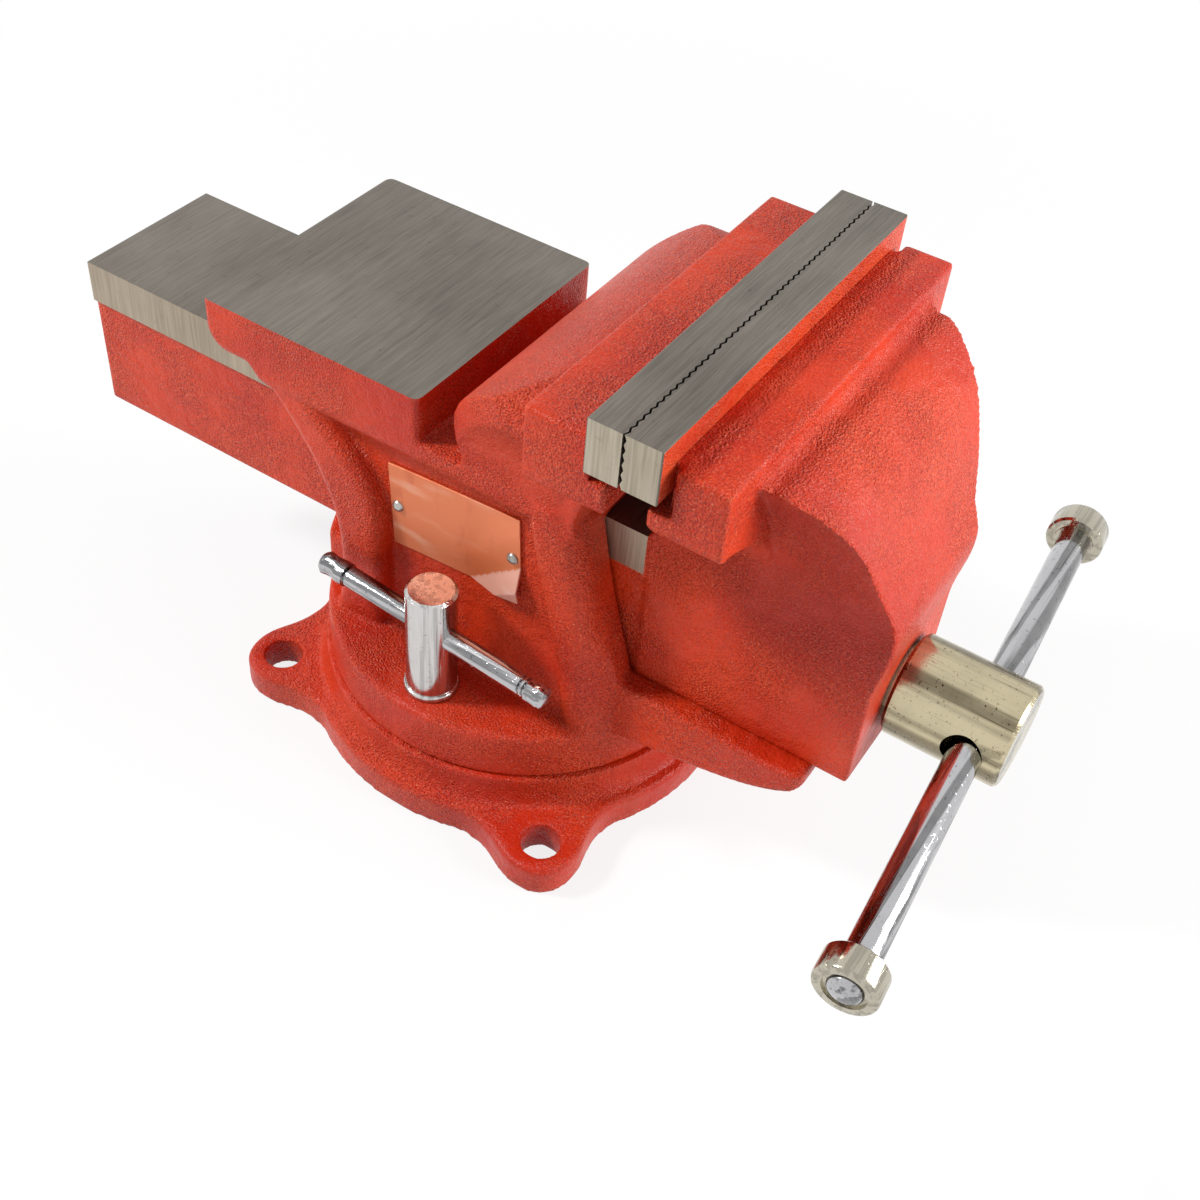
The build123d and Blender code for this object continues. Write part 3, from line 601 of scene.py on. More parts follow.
@dataclass(frozen=True)
class PlainSteel:
    """Steel or iron as it comes from the lathe or the mould."""

    colour: Colour
    stain: Colour
    gloss: float
    relief: float
    patches_per_metre: float = 180.0
    grain_per_metre: float = 1600.0
    metal: float = 0.9

    def material(self, name: str) -> Material:
        """Make the material.

        Args:
            name: Its name.

        Returns:
            The material.
        """
        shader = Shader.of(name)
        patches = shader.noise(self.patches_per_metre, 4.0).rise(0.35, 0.7)
        grain = shader.noise(self.grain_per_metre, 3.0)
        return shader.finish(
            Base_Color=shader.blend(patches, self.colour, self.stain),
            Metallic=self.metal,
            Roughness=grain * 0.25 + self.gloss,
            Normal=shader.bump(grain, self.relief),
        )


@dataclass(frozen=True)
class CopperSheet:
    """Satin copper-orange sheet with pale rubs, darker scuffs and very fine lines."""

    colour: Colour = srgb(220, 122, 78)
    rub: Colour = srgb(232, 170, 140)
    scuff: Colour = srgb(186, 82, 48)
    rubs_per_metre: float = 90.0
    scuffs_per_metre: float = 150.0
    lines_per_metre: float = 2200.0
    line_depth: float = 0.01 * MM
    gloss: float = 0.26
    metal: float = 0.35

    def material(self, name: str) -> Material:
        """Make the material.

        Args:
            name: Its name.

        Returns:
            The material.
        """
        shader = Shader.of(name)
        rubs = shader.noise(self.rubs_per_metre, 4.0, (1.0, 0.4, 1.6)).rise(0.55, 0.8)
        scuffs = shader.noise(self.scuffs_per_metre, 4.0, (1.0, 1.0, 0.5)).rise(0.55, 0.75)
        lines = shader.noise(self.lines_per_metre, 2.0, (1.0, 0.05, 1.0))
        tone = shader.blend(scuffs * 0.4, self.colour, self.scuff)
        return shader.finish(
            Base_Color=shader.blend(rubs * 0.8, tone, self.rub),
            Metallic=self.metal,
            Roughness=lines * 0.2 + self.gloss,
            Normal=shader.bump(lines, self.line_depth),
        )


@dataclass(frozen=True)
class Finishes:
    """Every material of the vise, made once."""

    paint: Material
    ground: Material
    anvil: Material
    milled: Material
    plate_end: Material
    chrome_handle: Material
    chrome_cap: Material
    chrome_bar: Material
    chrome_barrel: Material
    nickel: Material
    dark_steel: Material
    raw_iron: Material
    rivet_steel: Material
    copper: Material
    rubbed_copper: Material

    @classmethod
    def mixed(cls) -> "Finishes":
        """Make the materials."""
        # one ground steel in three copies: the tops are painted darker as shade, the upright sides and ends
        # painted lighter as lit faces; their grain and gloss differ for real
        top = GroundSteel(srgb(142, 135, 125), srgb(92, 86, 79))
        side = GroundSteel(srgb(190, 176, 156), srgb(138, 124, 106), gloss=0.42, lines_per_metre=1500.0)
        end = GroundSteel(srgb(206, 196, 178), srgb(140, 128, 108), gloss=0.45, lines_per_metre=1100.0)
        # the dark second colours, darkest on the nickel, are painted reflection drawn by the broad streaks,
        # as well as wear
        chrome = Plating(srgb(192, 192, 194), srgb(52, 50, 50), 0.08, 0.9, 300.0)
        barrel = Plating(srgb(208, 206, 204), srgb(104, 98, 94), 0.12, 0.55)
        cap = Plating(srgb(190, 184, 168), srgb(86, 80, 70), 0.1, 0.5)
        nickel = Plating(srgb(204, 192, 160), srgb(50, 36, 18), 0.14, 1.0, 85.0)
        dark = PlainSteel(srgb(96, 94, 92), srgb(62, 58, 54), 0.3, 0.02 * MM)
        iron = PlainSteel(srgb(104, 100, 96), srgb(74, 66, 58), 0.5, 0.15 * MM)
        rivet = PlainSteel(srgb(190, 188, 184), srgb(140, 136, 130), 0.2, 0.01 * MM)
        # painted highlight: a pale copy of the copper sheet for the bent corner, standing in for the bright
        # sky it reflects
        rubbed = CopperSheet(srgb(226, 168, 148), srgb(240, 214, 204))
        return cls(
            paint=CastPaint().material("cast_paint"),
            ground=top.material("ground_steel", Grain.ALONG_X),
            anvil=top.material("anvil_steel", Grain.ALONG_X),
            milled=side.material("milled_steel", Grain.UPRIGHT),
            plate_end=end.material("plate_end_steel", Grain.UPRIGHT),
            chrome_handle=chrome.material("chrome_handle", Grain.ALONG_X),
            chrome_cap=cap.material("chrome_cap", Grain.ALONG_X),
            chrome_bar=chrome.material("chrome_bar", Grain.ALONG_Y),
            chrome_barrel=barrel.material("chrome_barrel", Grain.UPRIGHT),
            nickel=nickel.material("nickel", Grain.ALONG_Y),
            dark_steel=dark.material("dark_steel"),
            raw_iron=iron.material("raw_iron"),
            rivet_steel=rivet.material("rivet_steel"),
            copper=CopperSheet().material("copper_sheet"),
            rubbed_copper=rubbed.material("rubbed_copper_sheet"),
        )


@dataclass(frozen=True)
class Cut:
    """A block that machining takes off a casting."""

    low: Corner
    high: Corner
    finish: int = 0


@dataclass
class Casting:
    """A sand casting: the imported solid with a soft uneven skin, then machined flat where it works."""

    node: str
    materials: list[Material]
    stock: list[tuple[Corner, Corner, float]] = field(default_factory=list)
    cuts: list[Cut] = field(default_factory=list)
    grain: float = 0.9 * MM
    rounding: int = 4
    softness: float = 0.5
    wave: float = 0.1 * MM
    wave_length: float = 16.0 * MM
    most_faces: int = 150_000

    def raw(self) -> Piece:
        """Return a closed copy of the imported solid, with the stock that machining will take off."""
        piece = bpy.data.objects.new(f"{self.node}_cast", frame["nodes"][self.node].data.copy())
        bpy.context.scene.collection.objects.link(piece)
        with editing(piece, "VERT"):
            bpy.ops.mesh.select_all(action="SELECT")
            bpy.ops.mesh.remove_doubles(threshold=WELD)
        for low, high, corner in self.stock:
            extra = block("stock", low, high, corner)
            only(piece)
            extra.select_set(True)
            bpy.ops.object.join()
        return piece

    def skin(self, piece: Piece) -> None:
        """Give the copy the soft edges and slow waves of a sand casting."""
        modify(piece, "REMESH", mode="VOXEL", voxel_size=self.grain)
        modify(piece, "SMOOTH", factor=self.softness, iterations=self.rounding)
        waves = bpy.data.textures.new("cast_waves", "CLOUDS")
        waves.noise_scale = self.wave_length
        modify(piece, "DISPLACE", texture=waves, strength=self.wave, texture_coords="LOCAL")
        triangles = 2 * len(piece.data.polygons)
        share = self.most_faces / triangles
        if share < 1:
            modify(piece, "DECIMATE", ratio=share)

    def machine(self, piece: Piece) -> None:
        """Cut the flat faces; each takes the finish of its cut."""
        for cut in self.cuts:
            tool = block("cutter", cut.low, cut.high)
            coat(tool, *self.materials)
            for face in tool.data.polygons:
                face.material_index = cut.finish
            carve(piece, tool)

    def build(self) -> None:
        """Cast, machine and paint the piece."""
        piece = self.raw()
        coat(piece, *self.materials)
        self.skin(piece)
        self.machine(piece)
        smooth(piece, 40.0)
        install(piece, self.node)


@dataclass
class Castings:
    """The swivel base, the body and the sliding jaw.

    Cutters reach far past a piece, stock stands proud of the faces that are cut, and skim is the least cut.
    """

    finishes: Finishes
    far: float = 300.0 * MM
    proud: float = 2.5 * MM
    skim: float = 0.15 * MM
    anvil_half: float = 49.9 * MM
    anvil_front: float = 13.0 * MM
    anvil_rear: float = 102.8 * MM
    anvil_top: float = 159.5 * MM
    anvil_corner: float = 2.5 * MM
    notch_rear: float = 5.0 * MM
    channel_half: float = 31.6 * MM
    channel_bottom: float = 69.0 * MM
    channel_top: float = 132.0 * MM
    channel_reach: float = 150.0 * MM
    rim_half: float = 31.3 * MM
    rim_bottom: float = 115.4 * MM
    slide_top: float = 131.7 * MM
    column_rear: float = -65.4 * MM

    def body(self) -> Casting:
        """Return the body, with its anvil, channel and jaw seat machined."""
        seat_low, seat_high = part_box("fixed_jaw_plate")
        half, far = self.anvil_half, self.far
        anvil = (
            (-half, self.anvil_front, self.anvil_top - self.proud),
            (half, self.anvil_rear, self.anvil_top + self.proud),
            self.anvil_corner,
        )
        cuts = [
            Cut((-far, self.notch_rear, self.anvil_top), (far, far, far), 1),
            Cut((-far, -far, seat_low.z), (far, seat_high.y, far)),
            Cut(
                (-self.channel_half, -self.channel_reach, self.channel_bottom),
                (self.channel_half, self.channel_reach, self.channel_top),
            ),
        ]
        return Casting("vise_body", [self.finishes.paint, self.finishes.anvil], [anvil], cuts)

    def slide(self) -> Casting:
        """Return the sliding jaw, with the top, rims and rear end of its bar machined."""
        seat_low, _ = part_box("moving_jaw_plate")
        _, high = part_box("sliding_jaw")
        far = self.far
        out = self.rim_half + self.proud
        top = self.slide_top + self.proud
        bar = ((-out, self.column_rear, self.rim_bottom), (out, high.y + self.proud, top), 0.0)
        behind = self.column_rear + self.proud / 4
        cuts = [
            Cut((-far, behind, self.slide_top), (far, far, far), 1),
            Cut((self.rim_half, behind, -far), (far, far, far), 2),
            Cut((-far, behind, -far), (-self.rim_half, far, far), 2),
            Cut((-far, high.y - self.skim, -far), (far, far, far), 2),
            Cut((-far, seat_low.y, seat_low.z), (far, far, far)),
        ]
        # the rims and the rear end take the lighter, painted-light copy of the ground top
        materials = [self.finishes.paint, self.finishes.ground, self.finishes.milled]
        return Casting("sliding_jaw", materials, [bar], cuts)

    def build(self) -> None:
        """Make the three castings."""
        far = self.far
        foot = [Cut((-far, -far, -far), (far, far, self.skim), 1)]
        materials = [self.finishes.paint, self.finishes.milled]
        Casting("swivel_base", materials, cuts=foot, rounding=6, most_faces=110_000).build()
        self.body().build()
        self.slide().build()


@dataclass
class JawPlate:
    """A hardened jaw plate: pointed teeth on its face, ground top, painted back."""

    node: str
    facing: int
    shift: float
    finishes: Finishes
    cell: float = 3.4 * MM
    tooth: float = 0.7 * MM
    edge: float = 0.45 * MM
    screw_x: float = 45.0 * MM
    screw_below_top: float = 16.5 * MM
    head_hole: float = 6.8 * MM
    head_sunk: float = 7.5 * MM
    shank_hole: float = 4.3 * MM
    trim_slack: float = 0.001 * MM
    flat_degrees: float = 0.5
    sideways: float = 0.9

    def teeth(self, low: Vector, high: Vector, face_y: float) -> Piece:
        """Return the toothed face, trimmed to the plate's outline.

        Args:
            low: The plate's lowest corner.
            high: The plate's highest corner.
            face_y: Where the points of the teeth lie.

        Returns:
            The open face.
        """
        across, down = (2 * math.ceil(span / self.cell / 2 + 1) for span in (high.x - low.x, high.z - low.z))
        cells = {"x_subdivisions": across, "y_subdivisions": down, "size": 1.0}
        middle = Vector((self.shift * self.cell, face_y - self.facing * self.tooth, high.z - self.cell / 2))
        turn = Matrix.Rotation(-self.facing * math.pi / 2, 4, "X")
        size = Matrix.Diagonal((across * self.cell, down * self.cell, 1.0, 1.0))
        place = Matrix.Translation(middle) @ turn @ size
        grid = fresh(bpy.ops.mesh.primitive_grid_add, **cells)
        piece = settle(grid, f"{self.node}_toothed", place)
        planes = [(low, (-1, 0, 0)), (low, (0, 0, -1)), (high, (1, 0, 0)), (high, (0, 0, 1))]
        with editing(piece, "FACE"):
            bpy.ops.mesh.select_all(action="SELECT")
            bpy.ops.mesh.poke(offset=self.tooth)
            trim = {"clear_outer": True, "threshold": self.trim_slack}
            for spot, normal in planes:
                bpy.ops.mesh.select_all(action="SELECT")
                bpy.ops.mesh.bisect(plane_co=spot, plane_no=normal, **trim)
        return piece

    def thicken(self, piece: Piece, back_y: float) -> None:
        """Draw the outline of the toothed face straight back to a flat back."""
        with editing(piece, "EDGE"):
            bpy.ops.mesh.select_all(action="DESELECT")
            bpy.ops.mesh.select_non_manifold(use_wire=False, use_multi_face=False, use_non_contiguous=False)
            back = (0, -self.facing * self.cell, 0)
            bpy.ops.mesh.extrude_edges_move(TRANSFORM_OT_translate={"value": back})
            bpy.ops.transform.resize(value=(1, 0, 1), center_override=(0, back_y, 0))
            bpy.ops.mesh.edge_face_add()
            bpy.ops.mesh.select_all(action="SELECT")
            bpy.ops.mesh.normals_make_consistent(inside=False)
            bpy.ops.mesh.dissolve_limited(angle_limit=math.radians(self.flat_degrees))
        pick_edges(piece, lambda a, b: max(abs(a.y - back_y), abs(b.y - back_y)) < FLAT_ENOUGH)
        with editing(piece, "EDGE"):
            bpy.ops.mesh.bevel(offset=self.edge, segments=2)

    def build(self) -> None:
        """Make, drill and dress the plate."""
        low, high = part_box(self.node)
        face_y, back_y = (high.y, low.y) if self.facing > 0 else (low.y, high.y)
        piece = self.teeth(low, high, face_y)
        self.thicken(piece, back_y)
        z = high.z - self.screw_below_top
        clear = self.facing * self.cell
        for x in (-self.screw_x, self.screw_x):
            seat_y = face_y - self.facing * self.head_sunk
            carve(piece, rod("drill", self.head_hole, (x, face_y + clear, z), (x, seat_y, z)))
            carve(piece, rod("drill", self.shank_hole, (x, face_y, z), (x, back_y - clear, z)))
        coat(piece, self.finishes.ground, self.finishes.plate_end, self.finishes.paint)
        # the plate's ends take the lighter, painted-light copy of the top steel
        paint_faces(piece, 1, lambda middle, normal: abs(normal.x) > self.sideways)
        paint_faces(piece, 2, lambda middle, normal: abs(middle.y - back_y) < FLAT_ENOUGH)
        install(piece, self.node)


@dataclass
class LeadScrew:
    """The vise screw: round head with the handle's bore, plain neck and a right-hand thread."""

    finishes: Finishes
    axis_z: float = 92.2 * MM
    head_radius: float = 18.0 * MM
    head_length: float = 40.6 * MM
    head_edge: float = 1.2 * MM
    neck_radius: float = 14.0 * MM
    neck_length: float = 1.5 * MM
    screw_radius: float = 10.0 * MM
    plain_length: float = 26.0 * MM
    root_radius: float = 8.1 * MM
    pitch: float = 6.0 * MM
    ridge_share: float = 0.45
    ridge_spare: float = 0.2 * MM
    thread_taper: float = 2.0 * MM
    steps: int = 32
    bore_radius: float = 7.02 * MM
    bore_y: float = -175.5 * MM

    def place(self) -> Matrix:
        """Return the axis: it starts at the head's front face and runs to the rear."""
        low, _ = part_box("lead_screw")
        return Matrix.Translation((0, low.y, self.axis_z)) @ Matrix.Rotation(-math.pi / 2, 4, "X")

    def thread(self, start: float, end: float) -> Piece:
        """Return the thread alone.

        Args:
            start: Where it starts along the axis.
            end: Where it ends.

        Returns:
            The coil, trimmed to the screw's radius.
        """
        diamond = fresh(bpy.ops.mesh.primitive_circle_add, vertices=4, radius=1.0)
        profile = Matrix.Translation((self.root_radius, 0, start)) @ Matrix.Rotation(math.pi / 2, 4, "X")
        ridge = self.screw_radius - self.root_radius + self.ridge_spare
        size = Matrix.Diagonal((ridge, self.ridge_share * self.pitch, 1.0, 1.0))
        coil = settle(diamond, "thread", profile @ size)
        turns = math.floor((end - start) / self.pitch)
        steps = {"steps": self.steps, "render_steps": self.steps, "axis": "Z"}
        modify(coil, "SCREW", screw_offset=self.pitch, iterations=turns, use_merge_vertices=True, **steps)
        with editing(coil, "VERT"):
            bpy.ops.mesh.select_all(action="SELECT")
            bpy.ops.mesh.fill_holes(sides=4)
            bpy.ops.mesh.normals_make_consistent(inside=False)
        carve(coil, rod("envelope", self.screw_radius, (0, 0, start), (0, 0, end)), "INTERSECT")
        return settle(coil, "thread", self.place())

    def build(self) -> None:
        """Make, bore, thread and dress the screw."""
        low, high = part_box("lead_screw")
        length = high.y - low.y
        head, edge = self.head_length, self.head_edge
        neck = head + self.neck_length
        thread_start = neck + self.plain_length
        stations = [
            (self.head_radius - edge, 0.0),
            (self.head_radius, edge),
            (self.head_radius, head - edge),
            (self.head_radius - edge, head),
            (self.neck_radius, head),
            (self.neck_radius, neck),
            (self.screw_radius, neck),
            (self.screw_radius, thread_start),
            (self.root_radius, thread_start + self.thread_taper),
            (self.root_radius, length - edge),
            (self.root_radius - edge, length),
        ]
        piece = turned("screw_threaded", stations, self.place(), 96)
        far = 2 * self.head_radius
        ends = ((x, self.bore_y, self.axis_z) for x in (-far, far))
        carve(piece, rod("bore", self.bore_radius, *ends))
        carve(piece, self.thread(thread_start, length - 2 * edge), "UNION")
        smooth(piece, 32.0)
        coat(piece, self.finishes.nickel)
        install(piece, "lead_screw")


@dataclass
class Handle:
    """The sliding handle: a bar with its ends riveted over two caps."""

    finishes: Finishes
    bar_radius: float = 5.7 * MM
    length: float = 228.8 * MM
    shift: float = -2.9 * MM
    lean: float = math.radians(4.0)
    place_y: float = -175.5 * MM
    axis_z: float = 92.2 * MM
    cap_radius: float = 10.25 * MM
    cap_length: float = 11.0 * MM
    cap_from_end: float = 1.3 * MM
    dish_radius: float = 7.0 * MM
    dish_depth: float = 0.9 * MM
    collar: float = 1.6 * MM

    def place(self, end: int) -> Matrix:
        """Return the handle's axis, Z pointing out of the far end (+1) or the near end (-1)."""
        middle = Matrix.Translation((0, self.place_y, self.axis_z)) @ Matrix.Rotation(self.lean, 4, "Z")
        return middle @ Matrix.Translation((self.shift, 0, 0)) @ Matrix.Rotation(end * math.pi / 2, 4, "Y")

    def cap(self, node: str, end: int) -> None:
        """Make one cap: a collar, a thick rim and a dished face round the riveted bar."""
        outer = self.length / 2 - self.cap_from_end
        inner = outer - self.cap_length
        radius = self.cap_radius
        stations = [
            (radius - 2 * self.collar, inner),
            (radius - 2 * self.collar, inner + 0.4 * self.collar),
            (radius - 0.5 * self.collar, inner + 0.6 * self.collar),
            (radius, inner + 1.1 * self.collar),
            (radius, outer - 1.1 * MM),
            (radius - 0.35 * MM, outer - 0.4 * MM),
            (radius - 1.1 * MM, outer),
        ]
        piece = turned(f"{node}_turned", stations, self.place(end))
        place = self.place(end)
        clear = place @ Vector((0, 0, outer + self.collar))
        holes = ((self.bar_radius, inner - self.collar), (self.dish_radius, outer - self.dish_depth))
        for hole, start in holes:
            carve(piece, rod("drill", hole, place @ Vector((0, 0, start)), clear))
        smooth(piece, 30.0)
        coat(piece, self.finishes.chrome_cap)
        install(piece, node)

    def bar(self) -> None:
        """Make the bar with its two domed ends."""
        half = self.length / 2
        dome = [(0.35, 0.0), (0.66, 0.35), (0.86, 0.85), (0.97, 1.6), (1.0, 2.5)]
        start = [(share * self.bar_radius, depth * MM - half) for share, depth in dome]
        end = [(radius, -along) for radius, along in reversed(start)]
        piece = turned("handle_bar_domed", start + end, self.place(1))
        smooth(piece, 40.0)
        coat(piece, self.finishes.chrome_handle)
        install(piece, "handle_bar")

    def build(self) -> None:
        """Make the bar and both caps."""
        self.bar()
        self.cap("handle_cap_far", 1)
        self.cap("handle_cap_near", -1)


@dataclass
class SwivelLock:
    """One swivel lock: a turned washer and a sliding bar with swaged ends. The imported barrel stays."""

    side: int
    name: str
    finishes: Finishes
    away: float = 59.7 * MM
    washer_bottom: float = 45.8 * MM
    washer_radius: float = 9.9 * MM
    washer_thick: float = 2.5 * MM
    shank_hole: float = 6.3 * MM
    bar_z: float = 74.1 * MM
    bar_radius: float = 3.9 * MM
    bar_length: float = 100.0 * MM
    bar_yaw: float = math.radians(4.0)
    flat: float = 0.84

    def washer(self) -> None:
        """Make the washer under the barrel."""
        radius, thick = self.washer_radius, self.washer_thick
        edge = 0.25 * thick
        stations = [
            (radius - edge, 0.0),
            (radius, 0.6 * edge),
            (radius, thick - edge),
            (radius - 0.4 * edge, thick - 0.3 * edge),
            (radius - edge, thick),
        ]
        foot = Vector((self.side * self.away, 0, self.washer_bottom))
        piece = turned(f"lock_washer_{self.name}", stations, Matrix.Translation(foot))
        below, above = foot - Vector((0, 0, thick)), foot + Vector((0, 0, 2 * thick))
        carve(piece, rod("drill", self.shank_hole, below, above))
        smooth(piece, 40.0)
        coat(piece, self.finishes.chrome_barrel)
        install(piece, "lock_washers")

    def bar(self) -> None:
        """Make the bar: its swaged ends are listed by radius and millimetres from their own tip."""
        half = self.bar_length / 2
        bar = self.bar_radius
        proud = bar + 0.5 * MM
        throat = bar - 0.8 * MM
        front = [
            (bar - 0.9 * MM, 0.0),
            (bar + 0.1 * MM, 0.5),
            (proud, 1.6),
            (proud, 2.6),
            (proud, 4.4, proud * self.flat),
            (proud, 6.4),
            (throat, 6.9),
            (throat, 7.6),
            (bar, 8.0),
            (bar, 8.7),
            (throat, 9.0),
            (throat, 9.5),
            (bar, 9.9),
        ]
        rear = [
            (bar, 12.4),
            (throat, 12.1),
            (throat, 11.6),
            (proud, 11.1),
            (proud, 8.0),
            (proud * self.flat, 6.0, proud + 0.2 * MM),
            (proud * self.flat, 3.2, proud + 0.2 * MM),
            (proud, 1.2),
            (bar - 0.3 * MM, 0.0),
        ]
        stations = [(radius, along * MM - half, *across) for radius, along, *across in front]
        stations += [(radius, half - along * MM, *across) for radius, along, *across in rear]
        turn = Matrix.Rotation(self.side * self.bar_yaw, 4, "Z") @ Matrix.Rotation(-math.pi / 2, 4, "X")
        place = Matrix.Translation((self.side * self.away, 0, self.bar_z)) @ turn
        piece = turned(f"lock_bar_{self.name}_swaged", stations, place, 48)
        smooth(piece, 35.0)
        coat(piece, self.finishes.chrome_bar)
        install(piece, f"lock_bar_{self.name}")

    def build(self) -> None:
        """Make the washer and the bar."""
        self.washer()
        self.bar()


@dataclass(frozen=True)
class Fold:
    """A straight fold across the sheet: the sheet rises past it by a slope."""

    start: tuple[float, float]
    end: tuple[float, float]
    slope: float

    def past(self, x: float, y: float) -> float:
        """Return how far a point of the sheet lies past the fold, measured square to it."""
        (ax, ay), (bx, by) = self.start, self.end
        return ((bx - ax) * (y - ay) - (by - ay) * (x - ax)) / math.hypot(bx - ax, by - ay)


@dataclass
class NamePlate:
    """A bare sheet on the near wall, its lower front corner bent away from the wall."""

    finishes: Finishes
    wall_x: float = -42.0 * MM
    y: float = 3.0 * MM
    z: float = 104.9 * MM
    width: float = 54.0 * MM
    height: float = 35.0 * MM
    thick: float = 0.8 * MM
    tilt: float = math.radians(3.4)
    cell: float = 0.9 * MM
    folds: tuple[Fold, ...] = (
        Fold((-27.0 * MM, 3.0 * MM), (-6.0 * MM, 17.5 * MM), 0.45),
        Fold((-27.0 * MM, 12.0 * MM), (-18.0 * MM, 17.5 * MM), -0.7),
    )
    bow: float = 0.25 * MM
    edge: float = 0.12 * MM

    def lift(self, x: float, y: float) -> float:
        """Return how far the sheet stands off its flat place at a point of it."""
        raised = self.bow * (abs(x) / (self.width / 2)) ** 3
        for fold in self.folds:
            raised += max(0.0, fold.past(x, y)) * fold.slope
        return raised

    def build(self) -> None:
        """Make the sheet, bend its corner and dress it."""
        across, down = round(self.width / self.cell), round(self.height / self.cell)
        cells = {"x_subdivisions": across, "y_subdivisions": down, "size": 1.0}
        size = Matrix.Diagonal((self.width, self.height, 1.0, 1.0))
        piece = settle(fresh(bpy.ops.mesh.primitive_grid_add, **cells), "name_plate_bent", size)
        for point in piece.data.vertices:
            point.co.z = self.thick + self.lift(point.co.x, point.co.y)
        coat(piece, self.finishes.copper, self.finishes.rubbed_copper)
        # painted highlight: the bent corner past the first fold takes the pale copper
        paint_faces(piece, 1, lambda middle, normal: self.folds[0].past(middle.x, middle.y) > 0)
        axes = Matrix(((0, 0, -1), (1, 0, 0), (0, -1, 0))).to_4x4()
        place = Matrix.Translation((self.wall_x, self.y, self.z)) @ axes @ Matrix.Rotation(self.tilt, 4, "Z")
        settle(piece, "name_plate_bent", place)
        modify(piece, "SOLIDIFY", thickness=self.thick, offset=-1.0)
        only_rim = {"limit_method": "ANGLE", "angle_limit": math.radians(60)}
        modify(piece, "BEVEL", width=self.edge, segments=1, **only_rim)
        smooth(piece, 12.0)
        install(piece, "name_plate")


@dataclass
class Fittings:
    """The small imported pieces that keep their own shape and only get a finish."""

    finishes: Finishes

    def dress(self) -> None:
        """Give each fitting its finish."""
        made = self.finishes
        small = ("fixed_jaw_screws", "moving_jaw_screws", "thrust_washer", "split_pin", "nut_bolt", "t_nuts")
        plan = {
            "chrome": (made.chrome_barrel, ("lock_screw_near", "lock_screw_far")),
            "dark_steel": (made.dark_steel, small),
            "raw_iron": (made.raw_iron, ("screw_nut",)),
            "nickel": (made.rivet_steel, ("name_plate_rivets",)),
        }
        for finish, (material, nodes) in plan.items():
            for node in nodes:
                dress(node, material)


@dataclass(frozen=True)
class Lamp:
    """A square soft lamp."""

    name: str
    place: Corner
    side: float
    watts: float

    def hang(self, target: Corner) -> None:
        """Hang the lamp so that it faces a target."""
        data = bpy.data.lights.new(self.name, "AREA")
        data.size = self.side
        data.energy = self.watts
        lamp = bpy.data.objects.new(self.name, data)
        lamp.location = self.place
        lamp.rotation_mode = "QUATERNION"
        lamp.rotation_quaternion = (Vector(target) - Vector(self.place)).to_track_quat("-Z", "Y")
        bpy.context.scene.collection.objects.link(lamp)


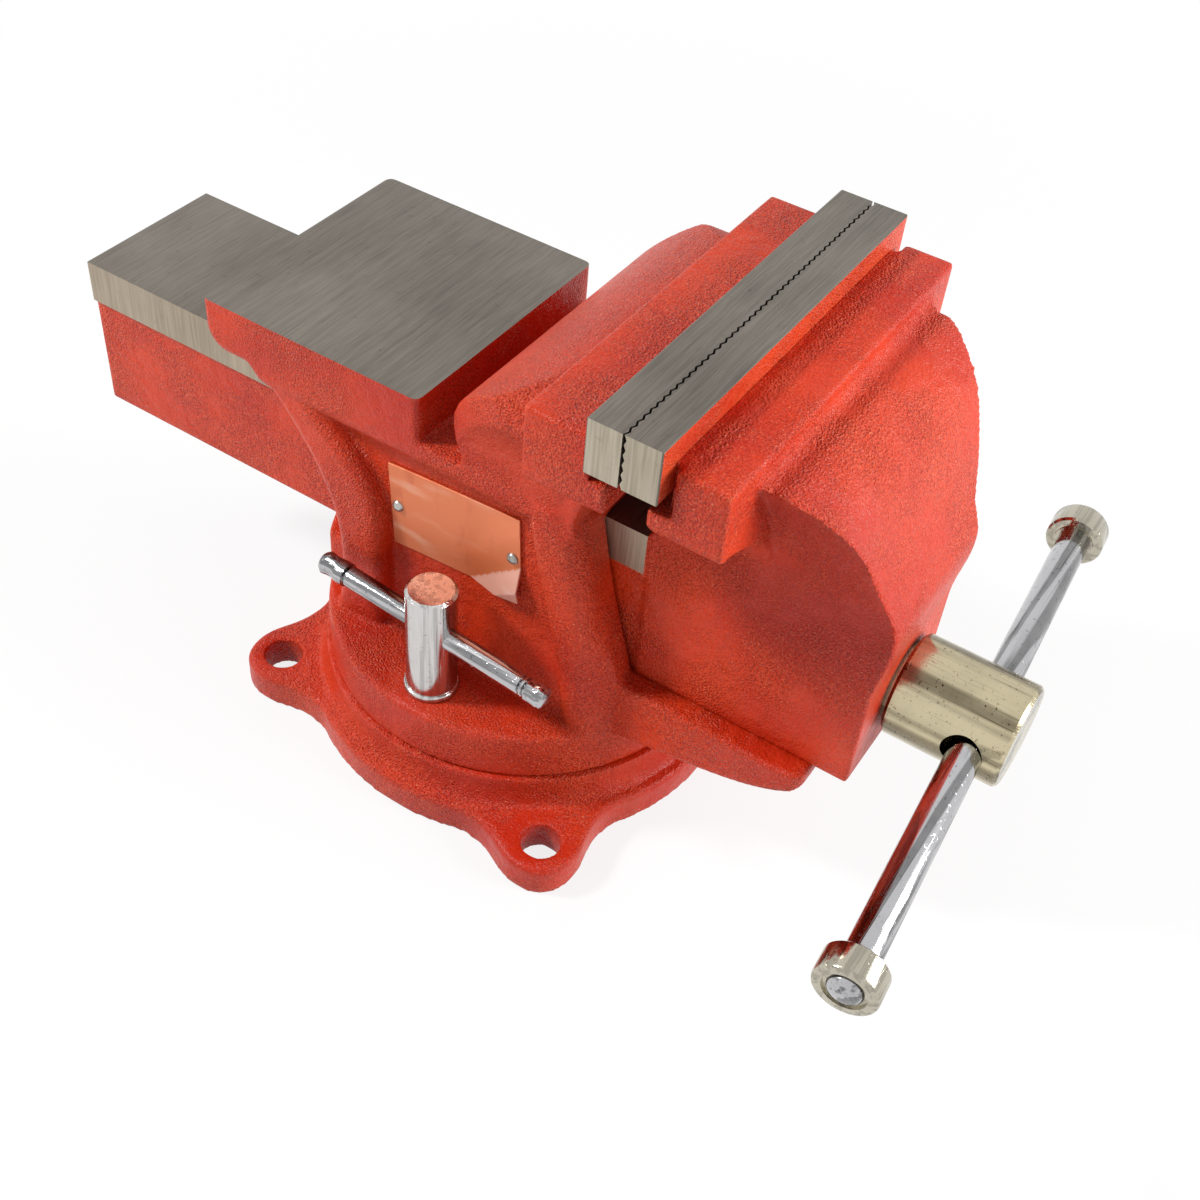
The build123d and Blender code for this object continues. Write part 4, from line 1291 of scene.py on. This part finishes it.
@dataclass
class Studio:
    """Floor, soft lamps, sky and the camera at the photograph's viewing angle."""

    lens: float = 47.089
    sensor_width: float = 36.0
    nearest: float = 0.01
    camera_place: Corner = (-0.3579, -0.2286, 0.4647)
    camera_azimuth: float = math.radians(-61.18)
    camera_elevation: float = math.radians(44.8)
    camera_roll: float = math.radians(5.97)
    floor_side: float = 12.0
    floor_colour: Colour = (0.86, 0.86, 0.86)
    floor_rough: float = 0.9
    floor_glow: float = 0.82
    floor_fades: tuple[float, float] = (0.25, 0.7)
    sky_light: float = 0.33
    lamps: tuple[Lamp, ...] = (
        Lamp("key", (-0.5, 0.75, 0.9), 0.18, 12.0),
        Lamp("front", (0.3, -1.05, 0.6), 0.6, 15.0),
    )
    middle: Corner = (0.0, 0.0, 0.09)

    def camera(self) -> None:
        """Place the camera."""
        turn, rise = self.camera_azimuth, self.camera_elevation
        back = Vector((math.sin(turn) * math.cos(rise), -math.cos(turn) * math.cos(rise), math.sin(rise)))
        level_right = Vector((0.0, 0.0, 1.0)).cross(back).normalized()
        level_up = back.cross(level_right)
        roll_cos, roll_sin = math.cos(self.camera_roll), math.sin(self.camera_roll)
        right = roll_cos * level_right + roll_sin * level_up
        up = roll_cos * level_up - roll_sin * level_right
        data = bpy.data.cameras.new("camera")
        data.lens = self.lens
        data.sensor_width = self.sensor_width
        data.clip_start = self.nearest
        camera = bpy.data.objects.new("camera", data)
        facing = Matrix((right, up, back)).transposed().to_4x4()
        camera.matrix_world = Matrix.Translation(self.camera_place) @ facing
        bpy.context.scene.collection.objects.link(camera)
        bpy.context.scene.camera = camera

    @staticmethod
    def seen(shader: Shader) -> Signal:
        """Return 1 for rays from the camera, off a glossy surface or through a clear one."""
        camera = shader.node("ShaderNodeLightPath", {}, {}, "Is Camera Ray")
        glossy = shader.node("ShaderNodeLightPath", {}, {}, "Is Glossy Ray")
        through = shader.node("ShaderNodeLightPath", {}, {}, "Is Transmission Ray")
        return camera.maths("MAXIMUM", glossy).maths("MAXIMUM", through)

    def floor(self) -> None:
        """Lay a pale floor that keeps the shadow and looks white to the camera."""
        floor = fresh(bpy.ops.mesh.primitive_plane_add, size=self.floor_side)
        floor.name = "floor"
        shader = Shader.of("floor_paint")
        floor.data.materials.append(shader.finish(Base_Color=self.floor_colour, Roughness=self.floor_rough))
        painted = Signal(shader, shader.tree.nodes["Principled BSDF"].outputs[0])
        glow = shader.node("ShaderNodeEmission", {}, {"Color": (1.0, 1.0, 1.0)})
        away = shader.node("ShaderNodeVectorMath", {"operation": "LENGTH"}, {0: shader.place()}, "Value")
        white = away.rise(*self.floor_fades) * (1 - self.floor_glow) + self.floor_glow
        values = {0: self.seen(shader) * white, 1: painted, 2: glow}
        both = shader.node("ShaderNodeMixShader", {}, values)
        shader.plug(shader.tree.nodes["Material Output"].inputs["Surface"], both)

    def sky(self) -> None:
        """Set an even sky: white where it is seen, softer as a light."""
        world = bpy.data.worlds.new("sky")
        shader = Shader(world)
        background = shader.tree.nodes["Background"]
        strength = shader.blend(self.seen(shader), self.sky_light, 1.0, Mix.NUMBER)
        shader.plug(background.inputs["Color"], (1.0, 1.0, 1.0))
        shader.plug(background.inputs["Strength"], strength)
        bpy.context.scene.world = world

    def build(self) -> None:
        """Build the whole studio."""
        self.camera()
        self.sky()
        self.floor()
        for lamp in self.lamps:
            lamp.hang(self.middle)
        bpy.context.scene.view_settings.view_transform = "Standard"


def main() -> None:
    """Dress the vise and set the studio."""
    logging.basicConfig(level=logging.INFO, format="%(message)s")
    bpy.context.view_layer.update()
    finishes = Finishes.mixed()
    Castings(finishes).build()
    JawPlate("fixed_jaw_plate", -1, 0.0, finishes).build()
    JawPlate("moving_jaw_plate", 1, 0.5, finishes).build()
    LeadScrew(finishes).build()
    Handle(finishes).build()
    SwivelLock(-1, "near", finishes).build()
    SwivelLock(1, "far", finishes).build()
    NamePlate(finishes).build()
    Fittings(finishes).dress()
    Studio().build()


if __name__ == "__main__":
    main()
